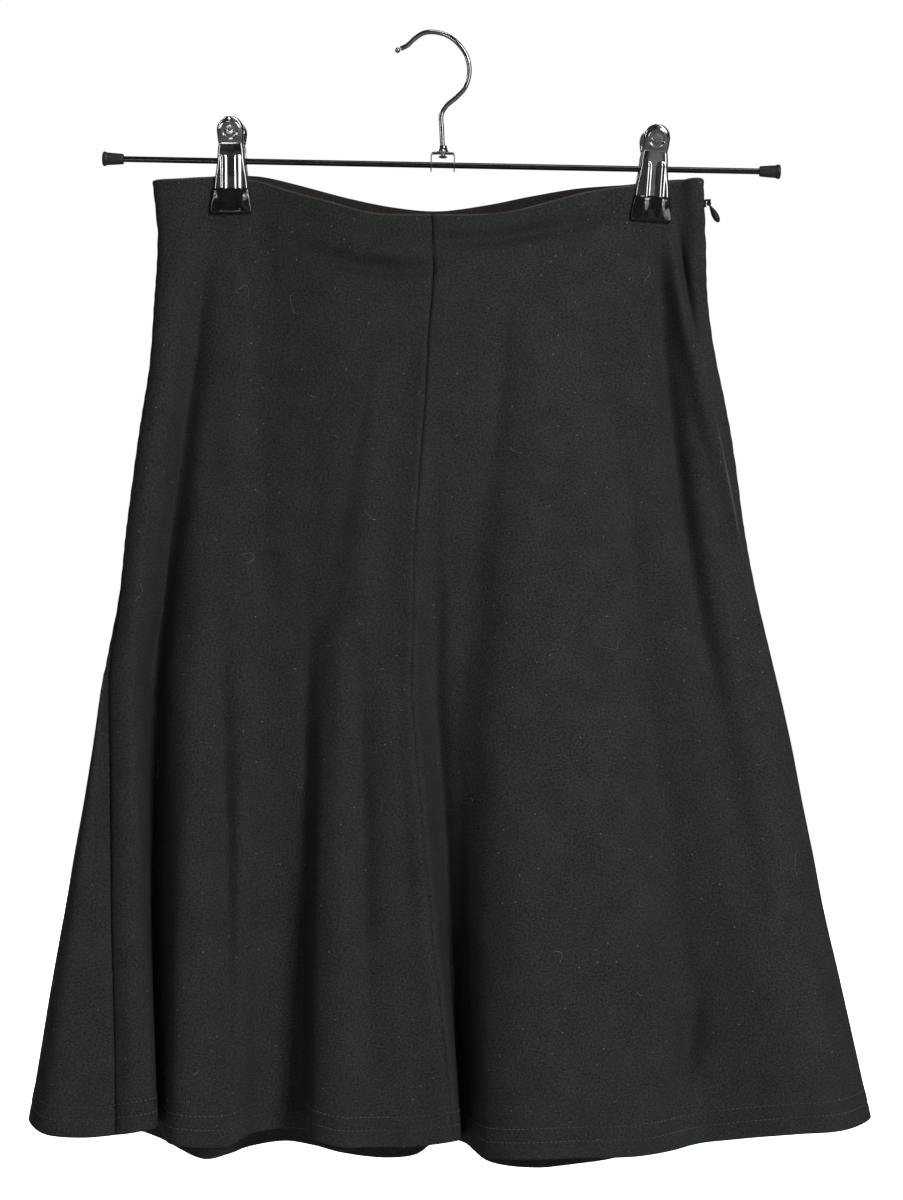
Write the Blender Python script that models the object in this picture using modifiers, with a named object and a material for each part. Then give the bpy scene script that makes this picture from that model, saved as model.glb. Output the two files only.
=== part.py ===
"""An a-line skirt hung by its waist from a metal hanger with two clips.

Sizes are in millimetres until a mesh is made, +Z is up and the skirt's front faces -Y.
The origin is the top of the inside of the hook's bow, where a rail carries the hanger.
"""

import math

import bmesh
import bpy
import numpy as np
from mathutils import Matrix, Vector

MM = 0.001
SHARP_ANGLE = math.radians(40)

# Cloth sizes
WALL = 1.5
FACING_WALL = 1.0
HEM_TURN_UP = 1.5
LAYER_GAP = 0.3
SEAM_GAP = 0.3
SPAN_STEPS = 8
COLUMNS_PER_SPAN = 2
PINCH_END = 0.05
RELEASED = 0.10
BELLY = 7.0
BELLY_FULL = 0.20
SIDE_SHARE = 0.42
FOLD_SOFTNESS = 0.03

# Shares of the cloth's length, from the waist to the hem, at which the walls have a row
ROWS = (0.0, 0.025, 0.056, 0.09, 0.13, 0.18, 0.235, 0.295, 0.36, 0.43,
        0.50, 0.575, 0.65, 0.725, 0.80, 0.875, 0.955, 0.965, 1.0)
FACING_ROWS = 3
FACING_CLEAR_COLUMNS = 2
TURN_UP_START = 0.96

# Half the gap between the two sides of the zip's seam: share of the length, half gap
ZIP_OPENING = ((0.0, 1.5), (0.025, 1.25), (0.056, 0.15), (1.0, 0.15))

# Waist edge, round from the left side seam by the front
# place, across, depth, below the hook's rest
WAIST = (
    ("left seam", -168, 0, 88),
    ("left loop corner", -164.5, -5.5, 87.5),
    ("left loop", -151, -7.5, 87),
    ("left clip, outer side", -137, -2.0, 85.5),
    ("left clip", -121, -2.9, 86),
    ("left clip, inner side", -105, -4.0, 88),
    ("slack beside the clip", -86, -10, 94.5),
    ("slack", -61, -18, 102),
    ("slack", -35, -21, 109),
    ("front seam", -1, -22, 110),
    ("slack", 25, -21, 110),
    ("slack", 45, -18, 108),
    ("slack", 71, -13, 101),
    ("slack beside the clip", 92, -8, 95),
    ("right clip, inner side", 116, -4.0, 91),
    ("right clip", 132, -2.9, 89.5),
    ("right clip, outer side", 148, -2.0, 87.5),
    ("right loop", 155.5, -6, 86.5),
    ("right loop corner", 160.5, -4.5, 86.5),
    ("right seam", 162, 0, 88),
    ("right loop corner", 160.5, 4.5, 87),
    ("right loop", 155.5, 6.5, 86.5),
    ("right clip, outer side", 148, 4.0, 86.5),
    ("right clip", 132, 2.9, 88),
    ("right clip, inner side", 116, 2.0, 90),
    ("slack beside the clip", 104, 4.5, 90.5),
    ("slack", 86, 9, 91.5),
    ("slack", 59, 14, 95.5),
    ("slack", 32, 17, 100.5),
    ("back seam", 3, 18, 104),
    ("slack", -22, 18, 102),
    ("slack", -49, 16, 97),
    ("slack beside the clip", -82, 11, 89),
    ("left clip, inner side", -105, 2.0, 85),
    ("left clip", -121, 2.9, 84.5),
    ("left clip, outer side", -137, 4.0, 85),
    ("left loop", -151, 7.5, 86.5),
    ("left loop corner", -164.5, 5.5, 87.5),
)

# Hem edge in the same order: each fold starts at a share of the length, and sways aside halfway
# place, across, depth, below the hook's rest, start, sway
HEM = (
    ("left seam", -188, -30, 656, 0.10, -5),
    ("left flute", -173, -31, 654, 0.10, -5),
    ("left flute edge", -163, -22, 652.5, 0.08, -7),
    ("deep valley", -168, 12, 652, 0.05, -9),
    ("deep valley side", -160, -5, 659, 0.06, -8),
    ("flute", -146, -36, 661, 0.12, -3),
    ("flute", -122, -34, 662, 0.20, 0),
    ("recess side", -114, -20, 659, 0.45, 0),
    ("recess", -107, -2, 657, 0.50, 0),
    ("recess", -86, 0, 656, 0.50, 0),
    ("recess corner", -73, -4, 656.5, 0.48, 0),
    ("recess edge", -65, -38, 657, 0.30, 0),
    ("flute", -54, -46, 660, 0.15, 0),
    ("flute", -34, -42, 660.5, 0.20, 0),
    ("flute", -10, -43, 660, 0.15, -5),
    ("front seam", 12, -42, 657.5, 0.10, -12),
    ("centre valley", 16, 5, 663, 0.40, -10),
    ("centre valley side", 20.5, -6, 664.5, 0.40, -8),
    ("broad flute edge", 25, -30, 665, 0.25, -6),
    ("broad flute", 33, -48, 666, 0.08, -3),
    ("broad flute", 54, -60, 665, 0.05, 0),
    ("broad flute", 85, -57, 664.5, 0.05, 0),
    ("broad flute", 117, -50, 665, 0.08, 0),
    ("broad flute side", 138, -38, 664, 0.10, 0),
    ("slanting valley", 159, -18, 661.5, 0.55, 0),
    ("right flute", 178, -24, 659, 0.35, 0),
    ("right flute", 217, -32, 654.5, 0.12, 0),
    ("right flute", 237, -28, 654, 0.10, 0),
    ("right flute", 251, -16, 653, 0.08, 0),
    ("right side", 262.5, 8, 651, 0.05, 0),
    ("right seam", 255, 26, 651, 0.30, -4),
    ("back flute", 246, 42, 658, 0.05, 3),
    ("back flute", 225, 50, 661, 0.08, 0),
    ("back valley", 199, 30, 661, 0.35, 0),
    ("back valley", 177.5, 27, 663, 0.40, 0),
    ("back flute", 157.5, 46, 668, 0.15, 0),
    ("back flute", 137, 56, 672, 0.10, 0),
    ("back flute side", 114, 42, 680, 0.20, 0),
    ("back valley", 88, 28, 682, 0.45, 0),
    ("back valley", 62, 25, 684, 0.50, 0),
    ("back valley", 35, 34, 682, 0.30, 0),
    ("back flute", 19, 54, 673.5, 0.10, 0),
    ("back seam", 4, 57, 671, 0.08, 0),
    ("back flute side", -12, 36, 678, 0.30, 0),
    ("back valley", -31, 26, 678, 0.40, 0),
    ("back valley", -56, 38, 677, 0.30, 0),
    ("back flute", -70, 48, 675, 0.15, 0),
    ("back flute", -92, 58, 673, 0.10, 0),
    ("back flute side", -115, 46, 675, 0.20, 0),
    ("back valley", -126, 32, 677, 0.35, 0),
    ("back valley", -140, 24, 678.5, 0.40, 0),
    ("back valley", -166, 30, 667, 0.30, 0),
    ("back flute", -186, 44, 663, 0.12, 0),
    ("back flute", -208, 52, 661, 0.08, 0),
    ("back flute", -228, 38, 655.5, 0.06, 0),
    ("left side", -241, 12, 650, 0.05, 0),
    ("left flute", -222, -12, 655, 0.05, 0),
    ("left flute", -200, -26, 657, 0.08, -3),
)

# Sides of the cloth seen from the front: share of the length, left, right
OUTLINE = (
    (0.00, -168, 162),
    (0.06, -165, 163),
    (0.13, -167, 164),
    (0.20, -170, 169.5),
    (0.25, -174.5, 175.5),
    (0.31, -179, 181),
    (0.37, -183, 185.5),
    (0.44, -187, 193),
    (0.50, -193.5, 201),
    (0.55, -198.5, 208),
    (0.61, -203.5, 215.5),
    (0.66, -208, 221),
    (0.72, -214, 228),
    (0.77, -219, 233.5),
    (0.85, -227, 244),
    (0.92, -233.5, 253),
    (1.00, -241, 263),
)

# Pulls and dents in the hung cloth, each along a bow through three places; a negative depth is a ridge
# place, side, across and below at the top, halfway and the end, half width, depth
CREASES = (
    ("pull below the left clip", "front", -139, 106, -148, 160, -158, 250, 9, 3.5),
    ("pull below the right clip", "front", 141, 124, 150, 270, 181, 430, 14, 7.0),
    ("rolled edge beside it", "front", 143, 119, 160, 205, 180, 290, 8, -4.0),
    ("soft valley, left", "front", -120, 430, -118, 530, -116, 650, 13, 5.0),
    ("soft valley, middle", "front", -42, 390, -31, 500, -34, 650, 13, 5.0),
    ("slanting dent at the hem", "front", 165, 585, 154, 625, 142, 662, 11, 6.0),
    ("pull below the right clip", "back", 128, 124, 118, 230, 112, 400, 14, 5.0),
    ("pull below the left clip", "back", -124, 120, -112, 220, -104, 360, 13, 5.0),
    ("soft valley, middle", "back", 12, 300, 20, 420, 14, 560, 14, 4.0),
)
CREASE_SAMPLES = 32
CREASE_BANK = 0.3
CREASE_FADE = 0.8

# Hanger sizes: the rod dips to the right, and everything on it turns with it
ROD_CENTRE = (5.1, 0.0, -78.3)
ROD_DIP = math.radians(1.105)
ROD_RADIUS = 1.8
ROD_LEFT = -201.0
ROD_RIGHT = 201.0
CAP_WALL = 2.0
CAP_MOUTH_RADIUS = 3.3
CAP_END_RADIUS = 4.2
CAP_EDGE = 0.6
CAP_LENGTH = 12.6
RUNNING_GAP = 0.3

HOOK_WIRE_RADIUS = 1.65
HOOK_STEPS = 3
HOOK_BALL_RADIUS = 1.9
# Centre line of the hook: across, height
HOOK = (
    (6.0, -72.6),
    (5.8, -68.8),
    (5.2, -56.0),
    (5.0, -48.1),
    (7.6, -43.2),
    (14.3, -37.3),
    (19.3, -31.5),
    (21.8, -22.2),
    (20.2, -12.9),
    (15.1, -5.4),
    (8.4, -0.4),
    (0.3, 1.65),
    (-6.0, 0.6),
    (-11.8, -3.7),
    (-15.4, -8.0),
    (-19.4, -9.7),
)

BRACKET_WIDTH = 14.7
BRACKET_DEPTH = 8.0
BRACKET_TOP = 7.6
BRACKET_FOOT = -4.2
BRACKET_SHEET = 1.2
COLLAR_HEIGHT = 3.4
COLLAR_FOOT_RADIUS = 3.5
COLLAR_TOP_RADIUS = 2.5
RIVET_RADIUS = 2.7
RIVET_HEIGHT = 1.4

CLIP_SHEET = 0.9
CLIP_COLUMNS = 6
CLIP_EDGE_POWER = 4
CLIP_TURN = math.radians(4.0)
# Front half of a clip above the rod's axis: height, half width, distance from the middle, turned-back edge
CLIP_SECTIONS = (
    (26.9, 1.6, 12.7, 0.2),
    (26.2, 3.4, 12.5, 0.3),
    (24.8, 5.2, 12.2, 0.5),
    (22.5, 6.8, 11.6, 0.8),
    (19.3, 7.6, 10.8, 1.2),
    (14.5, 7.4, 9.4, 1.8),
    (10.9, 7.1, 8.4, 2.2),
    (7.0, 7.5, 7.7, 2.5),
    (0.0, 7.9, 7.0, 2.4),
    (-6.0, 8.6, 6.4, 1.6),
    (-10.0, 9.3, 6.0, 0.7),
    (-17.0, 10.3, 5.5, 0.4),
)
TIP_TOP = -17.3
TIP_FOOT = -32.2
TIP_TOP_WIDTH = 20.6
TIP_FOOT_WIDTH = 24.6
TIP_INNER = 4.1
TIP_TOP_THICKNESS = 2.2
TIP_FOOT_THICKNESS = 2.7
TIP_ROUNDING = 1.1
SPRING_OUTER_RADIUS = 5.0
SPRING_INNER_RADIUS = 2.1
SPRING_LENGTH = 10.0
# Clips on the rod: side, distance along it from its centre, turn about the vertical, lean to the right
CLIPS = (
    ("left", -126.3, -CLIP_TURN, -ROD_DIP),
    ("right", 126.9, CLIP_TURN, math.radians(3.2)),
)

# Zip sizes, about the pin that carries the pull tab
ZIP_PIN = (165.5, 0.0, -101.3)
ZIP_PIN_RADIUS = 0.45
ZIP_PIN_LENGTH = 2.9
# Blocks of the slider: name, low corner, high corner
SLIDER_BLOCKS = (
    ("zip_slider", (-8.7, -2.6, -4.2), (-5.7, 2.6, 4.8)),
    ("slider_neck", (-6.0, -0.6, -2.2), (-1.6, 0.6, 2.4)),
    ("slider_roof", (-1.7, -1.8, 1.7), (1.1, 1.8, 2.5)),
    ("slider_cheek_front", (-1.0, -1.8, -1.0), (1.0, -1.1, 2.0)),
    ("slider_cheek_back", (-1.0, 1.1, -1.0), (1.0, 1.8, 2.0)),
)
ZIP_EYE_RADIUS = 1.3
ZIP_EYE_HOLE = 0.75
ZIP_EYE_THICKNESS = 1.6
TAB_REST = math.radians(28.0)
# Teardrop tab below the pin: distance, half thickness, half width
TAB_SECTIONS = (
    (0.95, 0.55, 0.78),
    (2.2, 0.75, 1.1),
    (4.2, 1.35, 1.9),
    (6.6, 1.9, 2.6),
    (9.2, 2.0, 2.9),
    (11.2, 1.6, 2.4),
    (12.4, 0.9, 1.4),
    (12.8, 0.35, 0.6),
)
TAB_SIDES = 12


def clear_scene():
    """Remove every object, so that the model starts from an empty scene."""
    for old in list(bpy.data.objects):
        bpy.data.objects.remove(old, do_unlink=True)


def collection(name):
    """A collection of that name, linked to the scene."""
    made = bpy.data.collections.new(name)
    bpy.context.scene.collection.children.link(made)
    return made


def material(name, colour, roughness, metallic=0.0):
    """A Principled material of one colour."""
    made = bpy.data.materials.new(name)
    made.use_nodes = True
    shader = made.node_tree.nodes["Principled BSDF"]
    shader.inputs["Base Color"].default_value = (*colour, 1.0)
    shader.inputs["Roughness"].default_value = roughness
    shader.inputs["Metallic"].default_value = metallic
    made.diffuse_color = (*colour, 1.0)
    return made


def place(made, group, finish, parent=None):
    """Put an object in its collection, give it its finish and hang it on its parent."""
    group.objects.link(made)
    made.data.materials.append(finish)
    made.parent = parent
    return made


def mesh_object(name, points, faces, smooth=True):
    """An object from points in millimetres and faces as rows of point numbers."""
    mesh = bpy.data.meshes.new(name)
    mesh.from_pydata((np.asarray(points, dtype=float) * MM).tolist(), [], faces)
    mesh.update()
    if smooth:
        mesh.shade_smooth()
        mesh.set_sharp_from_angle(angle=SHARP_ANGLE)
    return bpy.data.objects.new(name, mesh)


def smooth_curve(knots, steps, closed):
    """Centripetal Catmull-Rom curve through the knots, with that many steps to each span.

    Time between knots grows with the square root of the chord, and a point is three levels
    of straight interpolation between four neighbouring knots. An open curve ends on its
    first and last knots, which are mirrored once to give it its end tangents.
    """
    if not closed:
        first = 2 * knots[:1] - knots[1:2]
        last = 2 * knots[-1:] - knots[-2:-1]
        knots = np.concatenate([first, knots, last])
        p = [knots[:-3], knots[1:-2], knots[2:-1], knots[3:]]
    else:
        p = [np.roll(knots, shift, axis=0) for shift in (1, 0, -1, -2)]
    chord = [np.sqrt(np.linalg.norm((p[k + 1] - p[k])[:, :3], axis=1)) for k in range(3)]
    t = [np.zeros_like(chord[0])]
    for length in chord:
        t.append(t[-1] + length)
    t = [value[:, None, None] for value in t]
    now = t[1] + (t[2] - t[1]) * (np.arange(steps) / steps)[None, :, None]
    level = [value[:, None, :] for value in p]
    for width in (1, 2, 3):
        below = level
        level = []
        for k in range(4 - width):
            lo, hi = (t[1], t[2]) if width == 3 else (t[k], t[k + width])
            level.append(((hi - now) * below[k] + (now - lo) * below[k + 1]) / (hi - lo))
    points = level[0].reshape(-1, knots.shape[1])
    if not closed:
        points = np.concatenate([points, knots[-2:-1]])
    return points


def table(rows, first, last):
    """Numbers in the named columns first to last of a table."""
    return np.array([row[first:last] for row in rows], dtype=float)


def knot_of(rows, name):
    """Number of the row with that name."""
    return [row[0] for row in rows].index(name)


def share_along(points):
    """Share of the way along a line of points, from 0 to 1."""
    steps = np.linalg.norm(np.diff(points[:, :3], axis=0), axis=1)
    way = np.concatenate([[0.0], np.cumsum(steps)])
    return way / way[-1]


def at_share(points, shares):
    """Points at those shares of the way along a line of points."""
    own = share_along(points)
    return np.stack([np.interp(shares, own, column) for column in points.T], axis=1)


def glide(rows, column, shares):
    """Smooth value of a table's column at shares of its first column, by cubic Hermite arcs."""
    x = table(rows, 0, 1)[:, 0]
    y = table(rows, column, column + 1)[:, 0]
    slope = np.gradient(y, x)
    k = np.clip(np.searchsorted(x, shares, side="right") - 1, 0, len(x) - 2)
    width = x[k + 1] - x[k]
    q = (shares - x[k]) / width
    keep = (1 + 2 * q) * (1 - q) ** 2 * y[k] + q * q * (3 - 2 * q) * y[k + 1]
    lean = q * (1 - q) ** 2 * slope[k] - q * q * (1 - q) * slope[k + 1]
    return keep + lean * width


def ease(low, high, value):
    """0 below low, 1 above high and a smooth step between."""
    q = np.clip((value - low) / (high - low), 0, 1)
    return q * q * (3 - 2 * q)


def ring_spans(rows, seams):
    """Pieces of a closed edge from each seam to the next, as lines of points."""
    columns = len(rows[0])
    curve = smooth_curve(table(rows, 1, columns), SPAN_STEPS, closed=True)
    marks = [knot_of(rows, seam) * SPAN_STEPS for seam in seams]
    curve = np.concatenate([curve, curve])
    ends = marks[1:] + [marks[0] + len(rows) * SPAN_STEPS]
    return [curve[start:end + 1] for start, end in zip(marks, ends)]


SEAMS = ("left seam", "front seam", "right seam", "back seam")
GORES = ("front_left", "front_right", "back_right", "back_left")


def threads():
    """Waist and hem ends of the lengthwise threads, all round, and each gore's first column.

    A gore is cut like a sector, so a thread at a share of its hem edge starts at the same
    share of its waist edge. Neighbouring gores share the thread along their seam.
    """
    top = []
    foot = []
    starts = []
    every = SPAN_STEPS // COLUMNS_PER_SPAN
    for waist, hem in zip(ring_spans(WAIST, SEAMS), ring_spans(HEM, SEAMS)):
        picked = np.arange(0, len(hem) - 1, every)
        starts.append(sum(len(part) for part in foot))
        foot.append(hem[picked])
        top.append(at_share(waist, share_along(hem)[picked]))
    return np.concatenate(top), np.concatenate(foot), starts


def outward_share(count, starts):
    """How far each thread faces the front (-1) or the back (+1), 0 at the side seams."""
    index = np.arange(count)
    right = starts[2]
    front = index / right
    back = (index - right) / (count - right)
    wave = np.where(index < right, -np.sin(np.pi * front), np.sin(np.pi * back))
    return np.sign(wave) * np.abs(wave) ** SIDE_SHARE


def creased(points, side, held):
    """Push points inwards along the creases; side is -1 in front and +1 behind.

    A crease follows a quadratic bow through three places. Its depth fades to both ends as
    a half sine and across as a bell, with a shallow rise on either side. It is nothing
    where the clips hold the cloth.
    """
    s = np.linspace(0, 1, CREASE_SAMPLES)
    for _, face, xa, za, xb, zb, xc, zc, width, depth in CREASES:
        x = xa * (1 - s) * (1 - 2 * s) + xb * 4 * s * (1 - s) + xc * s * (2 * s - 1)
        z = za * (1 - s) * (1 - 2 * s) + zb * 4 * s * (1 - s) + zc * s * (2 * s - 1)
        away = np.hypot(points[..., 0:1] - x, points[..., 2:3] + z)
        nearest = away.argmin(axis=-1)
        off = away.min(axis=-1) / width
        fade = np.sin(np.pi * np.clip(s[nearest], 0.02, 0.98)) ** CREASE_FADE
        shape = np.exp(-off ** 2) - CREASE_BANK * np.exp(-(off / 2) ** 2)
        sign = -1 if face == "front" else 1
        mask = np.clip(side * sign * 2, 0, 1)
        points[..., 1] -= sign * depth * fade * shape * mask * held
    return points


def skirt_surface(shares):
    """Middle surface of the cloth, one row of points for each share of its length.

    Each thread runs from its waist end to its hem end. Across, it spreads as the outline
    does, then each row is stretched to reach the outline. In depth, a fold grows from its
    start to the hem, over a soft belly that the cloth takes below the waist.
    """
    top, foot, starts = threads()
    side = outward_share(len(top), starts)
    v = np.asarray(shares)[:, None]
    left = glide(OUTLINE, 1, v)
    right = glide(OUTLINE, 2, v)
    grown = (right - left - (OUTLINE[0][2] - OUTLINE[0][1]))
    grown = grown / ((OUTLINE[-1][2] - OUTLINE[-1][1]) - (OUTLINE[0][2] - OUTLINE[0][1]))
    sway = foot[:, 4] * np.sin(np.pi * v ** 0.85) ** 1.5
    across = top[:, 0] + (foot[:, 0] - top[:, 0]) * grown + sway
    low = across.min(axis=1, keepdims=True)
    high = across.max(axis=1, keepdims=True)
    across = left + (across - low) / (high - low) * (right - left)
    start = np.maximum(foot[:, 3], PINCH_END)
    q = np.clip((v - start) / (1 - start), 0, 1)
    rise = (1 + FOLD_SOFTNESS) * q * q / (q + FOLD_SOFTNESS)
    belly = BELLY * ease(PINCH_END, BELLY_FULL, v) * (1 - v) * side
    depth = top[:, 1] + (foot[:, 1] - top[:, 1]) * rise + belly
    height = -(top[:, 2] + (foot[:, 2] - top[:, 2]) * v)
    held = ease(PINCH_END, RELEASED, v)
    return creased(np.stack([across, depth, height], axis=2), side, held), starts


def surface_normals(points):
    """Outward normals of a closed ring surface, from the steps to its neighbours."""
    along = np.roll(points, -1, axis=1) - np.roll(points, 1, axis=1)
    down = np.gradient(points, axis=0)
    normal = np.cross(down, along)
    return normal / np.linalg.norm(normal, axis=2, keepdims=True)


def wall_faces(rows, columns):
    """Faces of a closed wall whose outer grid comes first and whose inner grid follows."""
    def outer(i, j):
        return i * columns + j

    def inner(i, j):
        return rows * columns + i * columns + j

    faces = []
    for i in range(rows - 1):
        for j in range(columns - 1):
            faces.append((outer(i, j), outer(i + 1, j), outer(i + 1, j + 1), outer(i, j + 1)))
            faces.append((inner(i, j), inner(i, j + 1), inner(i + 1, j + 1), inner(i + 1, j)))
    for j in range(columns - 1):
        faces.append((outer(0, j), outer(0, j + 1), inner(0, j + 1), inner(0, j)))
        last = rows - 1
        faces.append((outer(last, j + 1), outer(last, j), inner(last, j), inner(last, j + 1)))
    for i in range(rows - 1):
        faces.append((outer(i + 1, 0), outer(i, 0), inner(i, 0), inner(i + 1, 0)))
        end = columns - 1
        faces.append((outer(i, end), outer(i + 1, end), inner(i + 1, end), inner(i, end)))
    return faces


def cloth_wall(name, outer, inner):
    """A closed wall between two grids of points."""
    rows, columns = outer.shape[:2]
    points = np.concatenate([outer.reshape(-1, 3), inner.reshape(-1, 3)])
    return mesh_object(name, points, wall_faces(rows, columns))


def part_from_seam(points, edge, gap):
    """Draw an edge column of points towards its neighbour by half the seam's gap."""
    neighbour = 1 if edge == 0 else -2
    step = points[:, neighbour] - points[:, edge]
    step = step / np.linalg.norm(step, axis=1, keepdims=True)
    points[:, edge] += step * gap[:, None]


def gore_grid(surface, normals, starts, gore):
    """Middle surface and normals of one gore, drawn back from its seams."""
    count = surface.shape[1]
    first = starts[gore]
    last = starts[gore + 1] if gore + 1 < len(starts) else count
    columns = np.arange(first, last + 1) % count
    points = surface[:, columns].copy()
    plain = np.full(len(ROWS), SEAM_GAP / 2)
    zip_gap = np.interp(ROWS, *np.array(ZIP_OPENING).T)
    part_from_seam(points, 0, zip_gap if GORES[gore] == "back_right" else plain)
    part_from_seam(points, -1, zip_gap if GORES[gore] == "front_right" else plain)
    return points, normals[:, columns]


def build_gores(group, finish, surface, normals, starts):
    """Four gores, with the hem turned up inside their last rows."""
    grids = []
    turn_up = np.where(np.array(ROWS) > TURN_UP_START, HEM_TURN_UP, 0.0)[:, None, None]
    for gore, name in enumerate(GORES):
        points, own = gore_grid(surface, normals, starts, gore)
        grids.append((points, own))
        outer = points + own * (WALL / 2)
        inner = points - own * (WALL / 2 + turn_up)
        place(cloth_wall(name, outer, inner), group, finish)
    return grids


def build_facings(group, finish, grids):
    """Two strips inside the waist edge, which end before the zip's seam."""
    outside = WALL / 2 + LAYER_GAP
    inside = outside + FACING_WALL
    clear = FACING_CLEAR_COLUMNS
    for name, pair in (("waist_facing_front", (0, 1)), ("waist_facing_back", (2, 3))):
        points = np.concatenate([grids[pair[0]][0][:, :-1], grids[pair[1]][0]], axis=1)
        own = np.concatenate([grids[pair[0]][1][:, :-1], grids[pair[1]][1]], axis=1)
        columns = slice(0, -clear) if pair[0] == 0 else slice(clear, None)
        points = points[:FACING_ROWS, columns]
        own = own[:FACING_ROWS, columns]
        place(cloth_wall(name, points - own * outside, points - own * inside), group, finish)


def empty(name, group, location, rotation=(0.0, 0.0, 0.0), parent=None):
    """An empty that carries other objects."""
    made = bpy.data.objects.new(name, None)
    made.empty_display_size = 0.01
    group.objects.link(made)
    made.location = Vector(location) * MM
    made.rotation_euler = rotation
    made.parent = parent
    return made


def cylinder(name, radius, length, sides):
    """A plain cylinder along X about the origin."""
    mesh = bpy.data.meshes.new(name)
    bm = bmesh.new()
    bmesh.ops.create_cone(bm, cap_ends=True, segments=sides, radius1=radius * MM,
                          radius2=radius * MM, depth=length * MM)
    bmesh.ops.rotate(bm, verts=bm.verts, matrix=Matrix.Rotation(math.pi / 2, 3, "Y"))
    bm.to_mesh(mesh)
    bm.free()
    mesh.shade_smooth()
    mesh.set_sharp_from_angle(angle=SHARP_ANGLE)
    return bpy.data.objects.new(name, mesh)


def turned(name, profile, steps, closed=False):
    """A turned solid about Z: a profile of radius and height, run down its outer side.

    An open profile starts and ends on the axis, and a closed one makes a ring.
    """
    mesh = bpy.data.meshes.new(name)
    points = [(radius * MM, 0.0, height * MM) for radius, height in profile]
    edges = [(k, k + 1) for k in range(len(points) - 1)]
    if closed:
        edges.append((len(points) - 1, 0))
    mesh.from_pydata(points, edges, [])
    made = bpy.data.objects.new(name, mesh)
    screw = made.modifiers.new("turn", "SCREW")
    screw.axis = "Z"
    screw.angle = math.tau
    screw.steps = steps
    screw.render_steps = steps
    screw.use_merge_vertices = True
    screw.merge_threshold = 0.00001
    screw.use_smooth_shade = True
    return made


def box(name, low, high):
    """A box between two corners, in millimetres."""
    mesh = bpy.data.meshes.new(name)
    bm = bmesh.new()
    bmesh.ops.create_cube(bm, size=1.0)
    low = Vector(low) * MM
    size = Vector(high) * MM - low
    for vert in bm.verts:
        vert.co = low + Vector((vert.co[k] + 0.5) * size[k] for k in range(3))
    bm.to_mesh(mesh)
    bm.free()
    return bpy.data.objects.new(name, mesh)


def joined(target, tool, cutters, operation, parent=None):
    """Join or cut the target with a tool, which is kept as a hidden guide."""
    cutters.objects.link(tool)
    tool.hide_render = True
    tool.display_type = "WIRE"
    tool.parent = parent
    boolean = target.modifiers.new(tool.name, "BOOLEAN")
    boolean.operation = operation
    boolean.object = tool


def build_rod(group, finishes, hanger):
    """The rod and the two rubber caps on its ends."""
    rod = cylinder("hanger_rod", ROD_RADIUS, ROD_RIGHT - ROD_LEFT, 16)
    rod.location.x = (ROD_LEFT + ROD_RIGHT) / 2 * MM
    place(rod, group, finishes["dark chrome"], hanger)
    hole = ROD_RADIUS + RUNNING_GAP
    profile = (
        (0.0, CAP_WALL),
        (CAP_END_RADIUS - CAP_EDGE, CAP_WALL),
        (CAP_END_RADIUS, CAP_WALL - CAP_EDGE),
        (CAP_MOUTH_RADIUS, CAP_WALL - CAP_LENGTH),
        (hole, CAP_WALL - CAP_LENGTH),
        (hole, 0.0),
        (0.0, 0.0),
    )
    for side, end, lean in (("left", ROD_LEFT, -1), ("right", ROD_RIGHT, 1)):
        cap = turned("rod_cap_" + side, profile, 16)
        cap.location.x = (end + lean * RUNNING_GAP) * MM
        cap.rotation_euler.y = lean * math.pi / 2
        place(cap, group, finishes["black rubber"], hanger)


def build_hook(group, finishes):
    """The hook's bent wire and the ball on its tip."""
    line = smooth_curve(np.array(HOOK), HOOK_STEPS, closed=False)
    curve = bpy.data.curves.new("hanger_hook", "CURVE")
    curve.dimensions = "3D"
    curve.bevel_depth = HOOK_WIRE_RADIUS * MM
    curve.bevel_resolution = 2
    curve.use_fill_caps = True
    spline = curve.splines.new("POLY")
    spline.points.add(len(line) - 1)
    for point, (across, height) in zip(spline.points, line):
        point.co = (across * MM, 0.0, height * MM, 1.0)
    place(bpy.data.objects.new("hanger_hook", curve), group, finishes["chrome"])
    reach = np.array(HOOK[-1]) - np.array(HOOK[-2])
    reach = reach / np.linalg.norm(reach)
    centre = np.array(HOOK[-1]) + reach * (HOOK_BALL_RADIUS + RUNNING_GAP)
    mesh = bpy.data.meshes.new("hook_ball")
    bm = bmesh.new()
    bmesh.ops.create_uvsphere(bm, u_segments=12, v_segments=8, radius=HOOK_BALL_RADIUS * MM)
    bm.to_mesh(mesh)
    bm.free()
    mesh.shade_smooth()
    ball = bpy.data.objects.new("hook_ball", mesh)
    ball.location = Vector((centre[0], 0.0, centre[1])) * MM
    place(ball, group, finishes["chrome"])


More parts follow.
